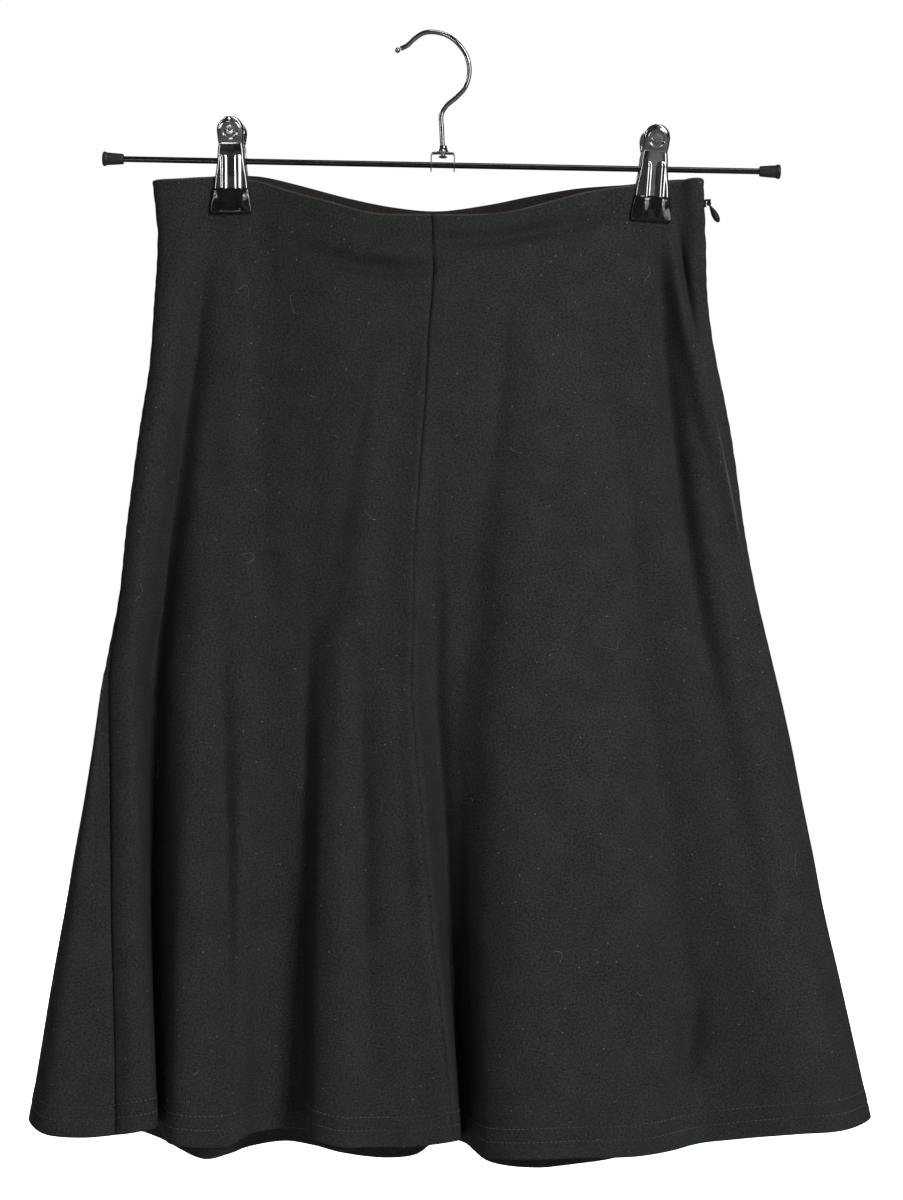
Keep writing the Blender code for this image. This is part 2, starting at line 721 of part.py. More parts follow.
def build_bracket(group, cutters, finishes, hanger):
    """The bent strip that carries the rod, and the collar and rivet that hold the hook in it."""
    half = BRACKET_WIDTH / 2
    deep = BRACKET_DEPTH / 2
    stem = (HOOK[1][0] - ROD_CENTRE[0], 0.0)
    bracket = box("hanger_bracket", (-half, -deep, BRACKET_FOOT), (half, deep, BRACKET_TOP))
    bevel = bracket.modifiers.new("bends", "BEVEL")
    bevel.width = 1.0 * MM
    bevel.segments = 2
    bevel.limit_method = "ANGLE"
    place(bracket, group, finishes["chrome"], hanger)
    inside = box("bracket_inside", (BRACKET_SHEET - half, -deep - 1, BRACKET_FOOT - 1),
                 (half - BRACKET_SHEET, deep + 1, BRACKET_TOP - BRACKET_SHEET))
    joined(bracket, inside, cutters, "DIFFERENCE", hanger)
    bore = cylinder("bracket_rod_hole", ROD_RADIUS + RUNNING_GAP, BRACKET_WIDTH + 4, 16)
    joined(bracket, bore, cutters, "DIFFERENCE", hanger)
    hole = turned("bracket_stem_hole", (
        (0.0, BRACKET_TOP + 2),
        (HOOK_WIRE_RADIUS + RUNNING_GAP, BRACKET_TOP + 2),
        (HOOK_WIRE_RADIUS + RUNNING_GAP, BRACKET_TOP - BRACKET_SHEET - 2),
        (0.0, BRACKET_TOP - BRACKET_SHEET - 2)), 16)
    hole.location = Vector((*stem, 0.0)) * MM
    joined(bracket, hole, cutters, "DIFFERENCE", hanger)
    foot = BRACKET_TOP + RUNNING_GAP
    bore_radius = HOOK_WIRE_RADIUS + RUNNING_GAP
    collar = turned("hook_collar", (
        (bore_radius, foot + COLLAR_HEIGHT),
        (COLLAR_TOP_RADIUS, foot + COLLAR_HEIGHT),
        (COLLAR_FOOT_RADIUS, foot + 0.6),
        (COLLAR_FOOT_RADIUS, foot),
        (bore_radius, foot)), 16, closed=True)
    collar.location = Vector((*stem, 0.0)) * MM
    place(collar, group, finishes["chrome"], hanger)
    head = HOOK[0][1] - ROD_CENTRE[2] - RUNNING_GAP
    rivet = turned("hook_rivet", (
        (0.0, head),
        (RIVET_RADIUS, head),
        (RIVET_RADIUS - 0.5, head - RIVET_HEIGHT),
        (0.0, head - RIVET_HEIGHT)), 16)
    rivet.location = Vector((*stem, 0.0)) * MM
    place(rivet, group, finishes["chrome"], hanger)


def clip_half(name, face):
    """Half of a clip: a pressed sheet with turned-back edges; face is -1 in front, +1 behind."""
    across = np.linspace(-1, 1, CLIP_COLUMNS + 1)
    points = []
    for height, half, out, edge in CLIP_SECTIONS:
        bend = edge * np.abs(across) ** CLIP_EDGE_POWER
        points.extend((half * x, face * (out - b), height) for x, b in zip(across, bend))
    columns = CLIP_COLUMNS + 1
    faces = []
    for i in range(len(CLIP_SECTIONS) - 1):
        for j in range(CLIP_COLUMNS):
            a = i * columns + j
            quad = (a, a + columns, a + columns + 1, a + 1)
            faces.append(quad if face < 0 else quad[::-1])
    made = mesh_object(name, points, faces)
    wall = made.modifiers.new("sheet", "SOLIDIFY")
    wall.thickness = CLIP_SHEET * MM
    wall.offset = -1.0
    return made


def clip_tip(name, face):
    """The dipped tip of a clip's half, wider and thicker towards its foot."""
    made = box(name, (-0.5, 0.0, TIP_FOOT), (0.5, 1.0, TIP_TOP))
    for vert in made.data.vertices:
        top = vert.co.z > (TIP_TOP + TIP_FOOT) / 2 * MM
        width = TIP_TOP_WIDTH if top else TIP_FOOT_WIDTH
        thick = TIP_TOP_THICKNESS if top else TIP_FOOT_THICKNESS
        vert.co.x *= width
        deep = TIP_INNER + vert.co.y / MM * thick
        vert.co.y = face * deep * MM
    if face < 0:
        made.data.flip_normals()
    made.data.update()
    bevel = made.modifiers.new("rounding", "BEVEL")
    bevel.width = TIP_ROUNDING * MM
    bevel.segments = 3
    made.data.shade_smooth()
    return made


def build_clips(group, finishes, hanger):
    """Two clips on the rod, each of two halves with dipped tips and a spring between them."""
    for side, along, turn, lean in CLIPS:
        carrier = empty("clip_" + side, group, (along, 0.0, 0.0), (0.0, lean, turn), hanger)
        for half, face in (("front", -1), ("back", 1)):
            name = "clip_" + side + "_" + half
            place(clip_half(name, face), group, finishes["chrome"], carrier)
            place(clip_tip(name + "_tip", face), group, finishes["black dip"], carrier)
        spring = turned("clip_" + side + "_spring", (
            (SPRING_INNER_RADIUS, SPRING_LENGTH / 2),
            (SPRING_OUTER_RADIUS, SPRING_LENGTH / 2),
            (SPRING_OUTER_RADIUS, -SPRING_LENGTH / 2),
            (SPRING_INNER_RADIUS, -SPRING_LENGTH / 2)), 16, closed=True)
        spring.location.x = along * MM
        spring.rotation_euler.y = math.pi / 2
        place(spring, group, finishes["dark chrome"], hanger)


def build_zip(group, cutters, finishes):
    """The zip's slider in the right seam, and the teardrop tab that swings on its pin."""
    blocks = []
    for name, low, high in SLIDER_BLOCKS:
        blocks.append(box(name, low, high))
        blocks[-1].location = Vector(ZIP_PIN) * MM
    slider = place(blocks[0], group, finishes["black metal"])
    for block in blocks[1:]:
        joined(slider, block, cutters, "UNION")
    pin = cylinder("slider_pin", ZIP_PIN_RADIUS, ZIP_PIN_LENGTH, 12)
    pin.rotation_euler.z = math.pi / 2
    pin.location = Vector(ZIP_PIN) * MM
    joined(slider, pin, cutters, "UNION")
    hinge = empty("zip_tab_hinge", group, ZIP_PIN, (0.0, -TAB_REST, 0.0))
    angles = np.arange(TAB_SIDES) / TAB_SIDES * math.tau
    points = [(thick * math.cos(a), half * math.sin(a), -down)
              for down, thick, half in TAB_SECTIONS for a in angles]
    faces = [tuple(range(TAB_SIDES))]
    for i in range(len(TAB_SECTIONS) - 1):
        for j in range(TAB_SIDES):
            a = i * TAB_SIDES + j
            b = i * TAB_SIDES + (j + 1) % TAB_SIDES
            faces.append((a, a + TAB_SIDES, b + TAB_SIDES, b))
    last = (len(TAB_SECTIONS) - 1) * TAB_SIDES
    faces.append(tuple(range(last + TAB_SIDES - 1, last - 1, -1)))
    tab = mesh_object("zip_pull_tab", points, faces)
    place(tab, group, finishes["black metal"], hinge)
    eye = cylinder("tab_eye", ZIP_EYE_RADIUS, ZIP_EYE_THICKNESS, 16)
    eye.rotation_euler.z = math.pi / 2
    joined(tab, eye, cutters, "UNION", hinge)
    hole = cylinder("tab_eye_hole", ZIP_EYE_HOLE, ZIP_EYE_THICKNESS * 2, 16)
    hole.rotation_euler.z = math.pi / 2
    joined(tab, hole, cutters, "DIFFERENCE", hinge)


def main():
    """Build the skirt and its hanger."""
    clear_scene()
    group = collection("a_line_skirt")
    cutters = collection("cutters")
    finishes = {
        "cloth": material("black cloth", (0.020, 0.021, 0.022), 0.92),
        "chrome": material("chrome", (0.62, 0.61, 0.62), 0.12, 1.0),
        "dark chrome": material("dark chrome", (0.12, 0.12, 0.12), 0.25, 1.0),
        "black dip": material("black dip", (0.010, 0.010, 0.012), 0.15),
        "black rubber": material("black rubber", (0.015, 0.015, 0.016), 0.5),
        "black metal": material("black metal", (0.012, 0.012, 0.013), 0.35, 0.4),
    }
    surface, starts = skirt_surface(ROWS)
    normals = surface_normals(surface)
    grids = build_gores(group, finishes["cloth"], surface, normals, starts)
    build_facings(group, finishes["cloth"], grids)
    hanger = empty("hanger", group, ROD_CENTRE, (0.0, ROD_DIP, 0.0))
    build_rod(group, finishes, hanger)
    build_hook(group, finishes)
    build_bracket(group, cutters, finishes, hanger)
    build_clips(group, finishes, hanger)
    build_zip(group, cutters, finishes)


main()
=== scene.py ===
"""Looks of the a-line skirt on its clip hanger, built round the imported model.

Sizes and tables are in millimetres and become metres when a mesh is made. +Z is up, the
skirt's front faces -Y, and the origin is the top of the inside of the hook's bow.
"""

import math

import bpy
import numpy as np
from mathutils import Euler, Matrix, Vector


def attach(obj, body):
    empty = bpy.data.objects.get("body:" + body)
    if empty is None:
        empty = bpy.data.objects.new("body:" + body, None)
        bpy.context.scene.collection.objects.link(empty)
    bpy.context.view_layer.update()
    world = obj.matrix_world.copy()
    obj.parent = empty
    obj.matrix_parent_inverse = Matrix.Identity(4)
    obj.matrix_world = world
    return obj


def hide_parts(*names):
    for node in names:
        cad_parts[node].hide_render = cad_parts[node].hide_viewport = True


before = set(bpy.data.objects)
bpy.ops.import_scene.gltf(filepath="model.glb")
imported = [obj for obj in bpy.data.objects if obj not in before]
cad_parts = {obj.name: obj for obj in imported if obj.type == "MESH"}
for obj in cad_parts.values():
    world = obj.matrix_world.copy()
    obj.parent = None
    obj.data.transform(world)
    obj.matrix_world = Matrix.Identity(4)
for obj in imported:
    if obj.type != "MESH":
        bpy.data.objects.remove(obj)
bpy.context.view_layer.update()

MM = 0.001
TAU = math.tau
BODY = "hung_skirt"
TAB_BODY = "zip_tab"

# Camera and studio, in metres
CAMERA_DISTANCE = 2.0
CAMERA_ACROSS = 0.0111
CAMERA_HEIGHT = -0.33915
CAMERA_LENS = 100
SENSOR = 36
FLOOR_HEIGHT = -0.78
FLOOR_RADIUS = 14.0
FLOOR_CORNERS = 96
LIGHT_AIM = (0.0, 0.0, -0.35)
ROOM_LIGHT = (0.06, 0.06, 0.064)
# Studio lights: name, place, width and height, watts, seen only in reflections
SOFTBOXES = (
    ("key_light", (1.5, -2.6, 0.55), (0.8, 0.8), 103, False),
    ("top_light", (0.2, -0.5, 2.0), (1.6, 1.0), 10, False),
    ("back_light", (-1.15, 2.9, 0.45), (0.9, 0.9), 165, False),
    ("window", (1.2, -1.6, 0.95), (0.55, 0.8), 8.0, True),
    ("wide_window", (1.7, -1.9, 0.3), (1.1, 1.5), 11.0, True),
    ("overhead_window", (0.3, -0.7, 1.6), (0.8, 0.35), 3.0, True),
    ("low_window", (-0.6, -2.1, -0.78), (0.6, 0.34), 3.2, True),
    ("dim_wall", (0.62, -2.5, -0.24), (0.5, 0.7), 0.16, True),
    ("strip_light", (-1.7, -1.0, 0.2), (0.16, 1.4), 3.5, True),
    ("back_window", (-1.2, 1.6, 0.95), (0.55, 0.8), 8.0, True),
)

# Cloth
HALF_WALL = 0.62
EDGE_ROUNDING = 1.1
EDGE_STEPS = (0.0, 0.08, 0.3, 0.65, 1.1)
SEAM_DEPTH = 1.3
SEAM_WIDTH = 0.95
SPAN_STEPS = 24
COLUMNS = 146
BODY_ROWS = 196
HEM_ROWS = 32
FIRST_ROW = 0.0035
HEM_MARGIN = 4.0
FOOT_STEP = 1.6
THREAD_LENGTH = 572.0
PINCH_END = 0.05
RELEASED = 0.10
BELLY = 7.0
BELLY_FULL = 0.20
SIDE_SHARE = 0.42
FOLD_SOFTNESS = 0.03
SWAY_PLACE = 0.85
SWAY_NARROWNESS = 1.5
# The clips stand at a reach on either side of their middle, hold the cloth as far as the first
# distance and let it go by the second. The very edge of the waist stays smooth.
GRIP_MIDDLE = 3.0
GRIP_REACH = 126.0
GRIP_HOLD = (16.0, 38.0)
EDGE_HELD = 0.012
HEM_DEPTH = 20.0
HEM_TURN_UP = 1.2
HEM_STITCH_ROWS = (10.0, 18.0)
HEM_STITCH_PITCH = 2.7
HEM_STITCH = (1.5, 0.32, 0.30)
HEM_STITCH_LIFT = 0.03
# Relief of the outer face: heights, and where each rises and ends
TURN_UP_LIFT = 0.35
STITCH_DENT = 0.30
STITCH_DENT_WIDTH = 0.9
ALLOWANCE_LIFT = 0.22
ALLOWANCE_RISE = (0.5, 2.5)
ALLOWANCE_END = (7.5, 11.0)
SEAM_PUCKER = 0.13
SEAM_PUCKER_PLACE = 3.0
SEAM_PUCKER_WIDTH = 4.5
FACING_DENT = 0.9
FACING_DENT_PLACE = 31.0
FACING_DENT_WIDTH = 3.4
WAIST_ROLL = 0.22
WAIST_ROLL_PLACE = 1.6
WAIST_ROLL_WIDTH = 1.4
FACING_SHARE = 0.056
FACING_OFFSET = 1.5
FACING_HALF_WALL = 0.42
FACING_CLEAR = 9

# Zip: tapes and coil inside the seam
TAPE_SHARE = 0.31
TAPE_COLUMNS = 14
TAPE_OFFSET = 1.05
TAPE_HALF_WALL = 0.22
TAPE_ROUNDING = 0.3
TAPE_LAP = 0.5
COIL_SHARE = 0.30
COIL_OFFSET = 0.9
COIL_PITCH = 1.05
COIL_TOOTH = (3.0, 0.72, 0.9)
# Half the gap between the two sides of the zip's seam: share of the length, half gap
ZIP_OPENING = ((0.0, 1.5), (0.025, 1.25), (0.056, 0.12), (0.32, 0.0), (1.0, 0.0))

# Waist edge round from the left side seam by the front, each gore from its first seam:
# across, depth, below the hook's rest
WAIST = {
    "front_left": (
        (-168, 0, 88), (-164.5, -5.5, 87.5), (-151, -7.5, 87), (-137, -2.0, 85.5),
        (-121, -2.9, 86), (-105, -4.0, 88), (-86, -10, 94.5), (-61, -18, 102), (-35, -21, 109),
    ),
    "front_right": (
        (-1, -22, 110), (25, -21, 110), (45, -18, 108), (71, -13, 101), (92, -8, 95),
        (116, -4.0, 91), (132, -2.9, 89.5), (148, -2.0, 87.5), (155.5, -6, 86.5),
        (160.5, -4.5, 86.5),
    ),
    "back_right": (
        (162, 0, 88), (160.5, 4.5, 87), (155.5, 6.5, 86.5), (148, 4.0, 86.5), (132, 2.9, 88),
        (116, 2.0, 90), (104, 4.5, 90.5), (86, 9, 91.5), (59, 14, 95.5), (32, 17, 100.5),
    ),
    "back_left": (
        (3, 18, 104), (-22, 18, 102), (-49, 16, 97), (-82, 11, 89), (-105, 2.0, 85),
        (-121, 2.9, 84.5), (-137, 4.0, 85), (-151, 7.5, 86.5), (-164.5, 5.5, 87.5),
    ),
}

# Hem edge in the same order: across, depth, below the hook's rest, the share of the length where
# the fold starts, and how far it sways aside halfway
HEM = {
    "front_left": (
        (-188, -27, 656, 0.1, -5), (-176, -30, 654, 0.1, -5), (-165.5, -25, 652.5, 0.08, -7),
        (-169, 13, 652, 0.05, -8), (-161.5, -9, 659, 0.06, -7), (-152, -34, 661, 0.12, -4),
        (-122, -31, 662, 0.3, 0), (-114, -22, 659, 0.36, 0), (-106, -8, 657, 0.4, 0),
        (-86, 0, 656, 0.44, 0), (-77, -4, 656.5, 0.44, 0), (-70, -38, 657, 0.3, 0),
        (-54, -46, 660, 0.15, 0), (-34, -42, 660.5, 0.2, 0), (-10, -43, 660, 0.15, -5),
    ),
    "front_right": (
        (12, -42, 657.5, 0.1, -12), (16, 5, 663, 0.4, -10), (20.5, -6, 664.5, 0.4, -8),
        (25, -30, 665, 0.25, -6), (33, -48, 666, 0.08, -3), (54, -60, 665, 0.05, 0),
        (85, -57, 664.5, 0.05, 0), (117, -50, 665, 0.08, 0), (138, -38, 664, 0.16, 0),
        (159, -22, 661.5, 0.3, 0), (178, -25, 659, 0.24, 0), (217, -32, 654.5, 0.16, 0),
        (237, -28, 654, 0.1, 0), (251, -16, 653, 0.08, 0), (262.5, 8, 651, 0.05, 0),
    ),
    "back_right": (
        (255, 26, 651, 0.3, -4), (246, 42, 658, 0.05, 3), (225, 50, 661, 0.08, 0),
        (199, 30, 661, 0.35, 0), (177.5, 27, 663, 0.4, 0), (157.5, 46, 668, 0.15, 0),
        (137, 56, 672, 0.1, 0), (114, 42, 680, 0.2, 0), (88, 28, 682, 0.45, 0),
        (62, 25, 684, 0.5, 0), (35, 34, 682, 0.3, 0), (19, 54, 673.5, 0.1, 0),
    ),
    "back_left": (
        (4, 57, 671, 0.08, 0), (-12, 36, 678, 0.3, 0), (-31, 26, 678, 0.4, 0),
        (-56, 38, 677, 0.3, 0), (-70, 48, 675, 0.15, 0), (-92, 58, 673, 0.1, 0),
        (-115, 46, 675, 0.2, 0), (-126, 32, 677, 0.35, 0), (-140, 24, 678.5, 0.4, 0),
        (-166, 30, 667, 0.3, 0), (-186, 44, 663, 0.12, 0), (-208, 52, 661, 0.08, 0),
        (-228, 38, 655.5, 0.06, 0), (-241, -8, 650, 0.05, 0), (-229, -31, 655, 0.05, 0),
        (-207, -30.5, 657, 0.08, -3),
    ),
}

# Sides of the cloth seen from the front: share of the length, left, right
OUTLINE = (
    (0.00, -168, 162), (0.06, -165, 163), (0.13, -167, 164), (0.20, -170, 169.5),
    (0.25, -174.5, 175.5), (0.31, -179, 181), (0.37, -183, 185.5), (0.44, -187, 193),
    (0.50, -193.5, 201), (0.55, -198.5, 208), (0.61, -203.5, 215.5), (0.66, -208, 221),
    (0.72, -214, 228), (0.77, -219, 233.5), (0.85, -227, 244), (0.92, -233.5, 253),
    (1.00, -241, 263),
)

# Pulls and dents in the hung cloth, each along a bow through three places: across and below at
# the top, halfway and the end, half width, depth. A negative depth is a ridge.
CREASES = {
    "front": (
        # pulls below the clips
        (-139, 106, -148, 160, -158, 250, 9, 3.5),
        (136, 124, 145, 270, 176, 430, 12, 7.0),
        (143, 119, 160, 205, 180, 290, 8, -4.0),
        # soft valleys
        (-127, 370, -124, 520, -121, 655, 10, 7.5),
        (-129, 210, -128, 330, -126, 460, 10, 3.2),
        (-46, 330, -42, 470, -40, 640, 10, 6.5),
        # slanting dent at the hem
        (159, 566, 149, 612, 137, 656, 8, 8.0),
    ),
    "back": (
        # pulls below the clips
        (128, 124, 118, 230, 112, 400, 14, 5.0),
        (-124, 120, -112, 220, -104, 360, 13, 5.0),
        # soft valleys
        (12, 300, 20, 420, 14, 560, 14, 4.0),
    ),
}

# Finer puckers and hollows, in the same columns
PUCKERS = {
    "front": (
        # fans from the clips
        (-112, 108, -103, 128, -88, 158, 3.5, 0.9),
        (-118, 112, -114, 140, -107, 180, 3.2, 0.7),
        (-143, 100, -153, 118, -160, 142, 3.0, 0.8),
        (121, 112, 110, 128, 92, 152, 3.5, 0.9),
        (127, 118, 121, 146, 112, 190, 3.6, 0.8),
        # sharp fold, troughs and rolled ridge by the right clip
        (142.5, 92, 150, 140, 157, 192, 3.2, 7.5),
        (133, 112, 145, 250, 168, 400, 7.0, 8.0),
        (157, 320, 174, 430, 195, 540, 11.0, 5.0),
        (140, 110, 157, 201, 188, 320, 5.5, -5.5),
        # ridge along its edge, where the painted highlight line runs
        (160.5, 190, 174.5, 258, 189, 330, 2.8, -2.8),
        # hollows from the left clip to the deep valley, and the ridge between them
        (-138.5, 98, -147.5, 165, -157, 240, 4.0, 4.0),
        (-136, 130, -149, 245, -164, 400, 7.5, 7.5),
        (-142, 120, -155, 215, -165, 320, 4.5, -2.6),
        (-160, 250, -166.5, 420, -169, 640, 7.0, 10.0),
        # hollows down the front
        (-126, 380, -123, 490, -120, 630, 6.5, 4.4),
        (-73, 330, -75, 480, -77, 640, 5.0, 3.2),
        (-48, 350, -43, 450, -42, 590, 6.0, 2.8),
        (-3, 300, 2, 430, 12, 560, 7.5, 4.4),
        # edge of the facing and sags under the waist edge, each with a ridge over it
        (-80, 131, -26, 143, 12, 139, 5.0, 8.5),
        (-74, 122, -26, 132, 12, 128, 5.0, -3.6),
        (-10, 127, 50, 122, 126, 105, 5.0, 9.5),
        (-6, 116, 50, 111, 114, 96, 4.5, -3.2),
        # puckers at the left seam's foot
        (-200, 600, -195, 622, -190, 645, 3.6, 2.8),
        (-181, 598, -186, 618, -190, 643, 3.2, 2.2),
        (-186, 560, -189, 582, -195, 604, 4.0, 0.9),
        # puckers by the zip
        (151, 106, 156, 118, 160, 134, 2.4, 0.8),
        (154, 124, 158, 140, 161, 158, 2.4, 0.6),
        # sag below the waist
        (-8, 122, -46, 121, -92, 106, 5.0, 1.6),
        # drags from the hips
        (-150, 186, -154, 250, -163, 330, 6.0, 1.2),
        (122, 180, 128, 260, 140, 350, 7.0, 1.2),
        # faint folds
        (-70, 250, -76, 360, -84, 500, 9.0, 1.1),
        (-18, 300, -17, 420, -14, 560, 8.0, 1.2),
        (52, 330, 60, 450, 66, 600, 12.0, 1.6),
        (102, 420, 108, 520, 118, 640, 11.0, 1.8),
        # slanting dents
        (94, 618, 82, 630, 66, 641, 7.0, 2.2),
        (206, 500, 212, 560, 222, 640, 9.0, 2.0),
        (-212, 520, -218, 580, -224, 640, 8.0, 1.6),
    ),
    "back": (
        # room behind the deep hollows of the front
        (-134, 130, -149, 245, -166, 420, 11.0, -4.5),
        (-160, 260, -168, 430, -170, 640, 12.0, -4.0),
        (134, 130, 143, 250, 168, 410, 11.0, -4.5),
        # fans from the clips
        (120, 112, 108, 134, 92, 170, 3.6, 0.9),
        (140, 110, 145, 136, 150, 176, 3.4, 1.0),
        (-110, 110, -96, 134, -78, 168, 3.6, 0.9),
        (-132, 108, -138, 134, -146, 172, 3.4, 1.0),
        # sag below the waist
        (-8, 116, -46, 113, -88, 100, 5.0, 0.7),
        (14, 116, 50, 112, 96, 102, 5.0, 0.7),
        # faint folds
        (66, 300, 72, 420, 80, 590, 10.0, 1.6),
        (-40, 320, -44, 450, -50, 620, 10.0, 1.5),
        (180, 420, 190, 520, 204, 640, 10.0, 1.8),
        (-160, 380, -172, 500, -186, 640, 10.0, 1.6),
    ),
}
CREASE_SAMPLES = 120
CREASE_BANK = 0.3
CREASE_FADE = 0.8
CREASE_ENDS = (0.02, 0.98)

# Slow unevenness of the cloth: waves across, waves down over a metre, turn of the start, height
RIPPLES = (
    (17.0, 6.0, 0.4, 0.30),
    (9.0, -13.0, 1.9, 0.30),
    (26.0, 17.0, 3.1, 0.16),
    (-31.0, 24.0, 5.0, 0.13),
    (52.0, -38.0, 2.2, 0.07),
    (66.0, 61.0, 4.4, 0.05),
)

# Cut of the gores: name, waist width, hem width, length, in metres
GORES = (
    ("front_left", 0.178, 0.385, 0.585),
    ("front_right", 0.178, 0.405, 0.585),
    ("back_right", 0.166, 0.375, 0.585),
    ("back_left", 0.180, 0.375, 0.585),
)

# Painted light tint of the lit yarn against its own colour: warm half way down, cool near the waist and
# the hem
WARM_AND_COOL = ((1.06, 1.03, 0.90), (0.95, 1.01, 1.0))
WARM_HEIGHT = -0.36
# Painted highlight line along the edge of the rolled fold at the right hip, in metres
FOLD_EDGE_SLOPE = 0.206
FOLD_EDGE_PLACE = 0.1213
FOLD_EDGE_HEIGHT = -0.268
FOLD_EDGE_REACH = 0.047
FOLD_EDGE_HALF = 0.0005
# Stretch of the patterns in the knit, for each metre
HEATHER = (720, 930, 1)
FLECKS = (260, 260, 1)
FLECK_SIZE = 0.09
FLECK_RARITY = 0.87
WALES = (230, 120, 1)
NAP = (1500, 1100, 1)

# Hanger: the rod dips to the right, and everything on it turns with it
ROD_CENTRE = (5.1, 0.0, -78.3)
ROD_DIP = math.radians(1.105)
ROD_RADIUS = 1.8
ROD_END = 201.0
ROD_CHAMFER = 0.4
HOOK_WIRE_RADIUS = 1.45
HOOK_BALL_RADIUS = 1.7
BRACKET_TOP = 7.6
BRACKET_WIDTH = 14.7
BRACKET_DEPTH = 8.0
BRACKET_FOOT = -4.2
BRACKET_HALF_SHEET = 0.4
BRACKET_BEND = 1.7
BRACKET_TAPER = 0.45
BRACKET_COLUMNS = 13
# Turned pieces of the hanger: radius, height. The collar stands on the bracket, and the rivet's
# head hangs from the foot of the wire.
CAP_PROFILE = (
    (0.4, 2.25), (2.9, 2.2), (3.9, 1.9), (4.35, 1.3), (4.4, 0.4), (4.15, -0.2), (3.85, -0.6),
    (3.75, -2.0), (3.45, -6.5), (3.15, -10.0), (2.95, -10.5), (2.85, -10.6), (2.15, -10.5),
    (2.1, -9.0), (2.1, -0.1), (0.3, -0.1),
)
COLLAR_PROFILE = (
    (1.95, 3.8), (2.2, 3.9), (2.35, 3.6), (2.5, 2.6), (2.9, 1.2), (3.4, 0.5), (3.5, 0.25),
    (3.4, 0.0), (1.95, 0.0), (1.95, 3.8),
)
RIVET_PROFILE = ((0.3, 0.0), (2.5, 0.0), (2.7, -0.25), (2.5, -0.75), (1.7, -1.2), (0.3, -1.4))
# Gap between pieces that sit on each other
PLAY = 0.3
# Centre line of the hook: across, height
HOOK = (
    (6.0, -72.6), (5.8, -68.8), (5.2, -56.0), (5.0, -48.1), (7.6, -43.2), (14.3, -37.3),
    (19.3, -31.5), (21.8, -22.2), (20.2, -12.9), (15.1, -5.4), (8.4, -0.4), (0.3, 1.65),
    (-6.0, 0.9), (-11.8, -3.0), (-15.4, -6.4), (-19.4, -8.4),
)

# Half of a clip from top to foot: height over the rod, half width, distance from the middle and
# turned-back edge
CLIP_SECTIONS = (
    (25.1, 1.6, 12.7, 0.3), (24.5, 3.6, 12.5, 0.5), (23.2, 5.4, 12.2, 0.9),
    (21.1, 6.9, 11.7, 1.4), (18.0, 7.7, 10.9, 1.9), (14.0, 7.5, 9.5, 2.3), (11.6, 7.3, 8.6, 2.4),
    (10.4, 6.9, 8.2, 3.2), (7.0, 7.4, 7.7, 3.8), (0.0, 7.9, 7.0, 3.9), (-6.0, 8.6, 6.4, 2.8),
    (-10.0, 9.3, 6.0, 1.6), (-19.5, 10.2, 5.5, 0.9),
)
CLIP_HALF_SHEET = 0.42
CLIP_CORNER = 1.3
CLIP_RIB_PLACE = 4.1
CLIP_RIB_WIDTH = 1.5
CLIP_RIB_HEIGHT = 1.0
CLIP_RIB_TOP = 2.6
CLIP_CROWN = (0.3, 1.1)
CLIP_EAR_BEND = (10.5, 14.0)
CLIP_DISH_HEIGHT = 16.8
CLIP_DISH_RADIUS = 5.0
CLIP_DISH_DEPTH = 0.75
CLIP_RIM_HEIGHT = 0.28
CLIP_ARC_RADIUS = 2.6
CLIP_ARC_HEIGHT = 0.45
CLIP_KNOB_HEIGHT = 0.4
# Rows and columns
CLIP_GRID = (84, 57)
# Dipped tip of a clip's half: height, half width, outer face from the middle
TIP_SECTIONS = (
    (-16.8, 10.2, 5.9), (-17.6, 10.5, 6.2), (-21.0, 11.1, 6.4), (-26.0, 11.9, 6.7),
    (-29.6, 12.3, 6.8), (-31.4, 12.0, 6.6), (-32.1, 11.4, 6.1),
)
TIP_INNER = 4.15
TIP_ROUNDING = 4.0
TIP_GRID = (34, 56)
# Lobes on the tip over the ribs: least rise, more at the middle, the middle's place and reach
TIP_LOBE = (0.2, 1.4, -22.5, 6.0)
# Waves of the tip's upper edge: depth, pitch
TIP_SCALLOP = (0.28, 2.6)
SPRING_RADIUS = 3.9
SPRING_WIRE = 0.62
SPRING_TURNS = 6
SPRING_LENGTH = 8.6
# Clips on the rod: side, distance along it from its centre, turn about the vertical, lean to the right
CLIPS = (
    ("left", -125.7, math.radians(-3.0), -ROD_DIP),
    ("right", 126.9, math.radians(4.0), math.radians(2.4)),
)

# Zip, about the pin that carries the pull tab
ZIP_PIN = (165.5, 0.0, -101.3)
TAB_REST = math.radians(28.0)
TAB_EYE = 1.02
TAB_EYE_WIRE = 0.42
TAB_GRID = (30, 28)
# Teardrop tab below the pin: distance, half thickness, half width
TAB_SECTIONS = (
    (0.9, 0.5, 0.7), (2.2, 0.75, 1.1), (4.2, 1.35, 1.9), (6.6, 1.9, 2.6), (9.2, 2.0, 2.9),
    (11.2, 1.6, 2.4), (12.3, 0.9, 1.5), (12.75, 0.3, 0.5),
)

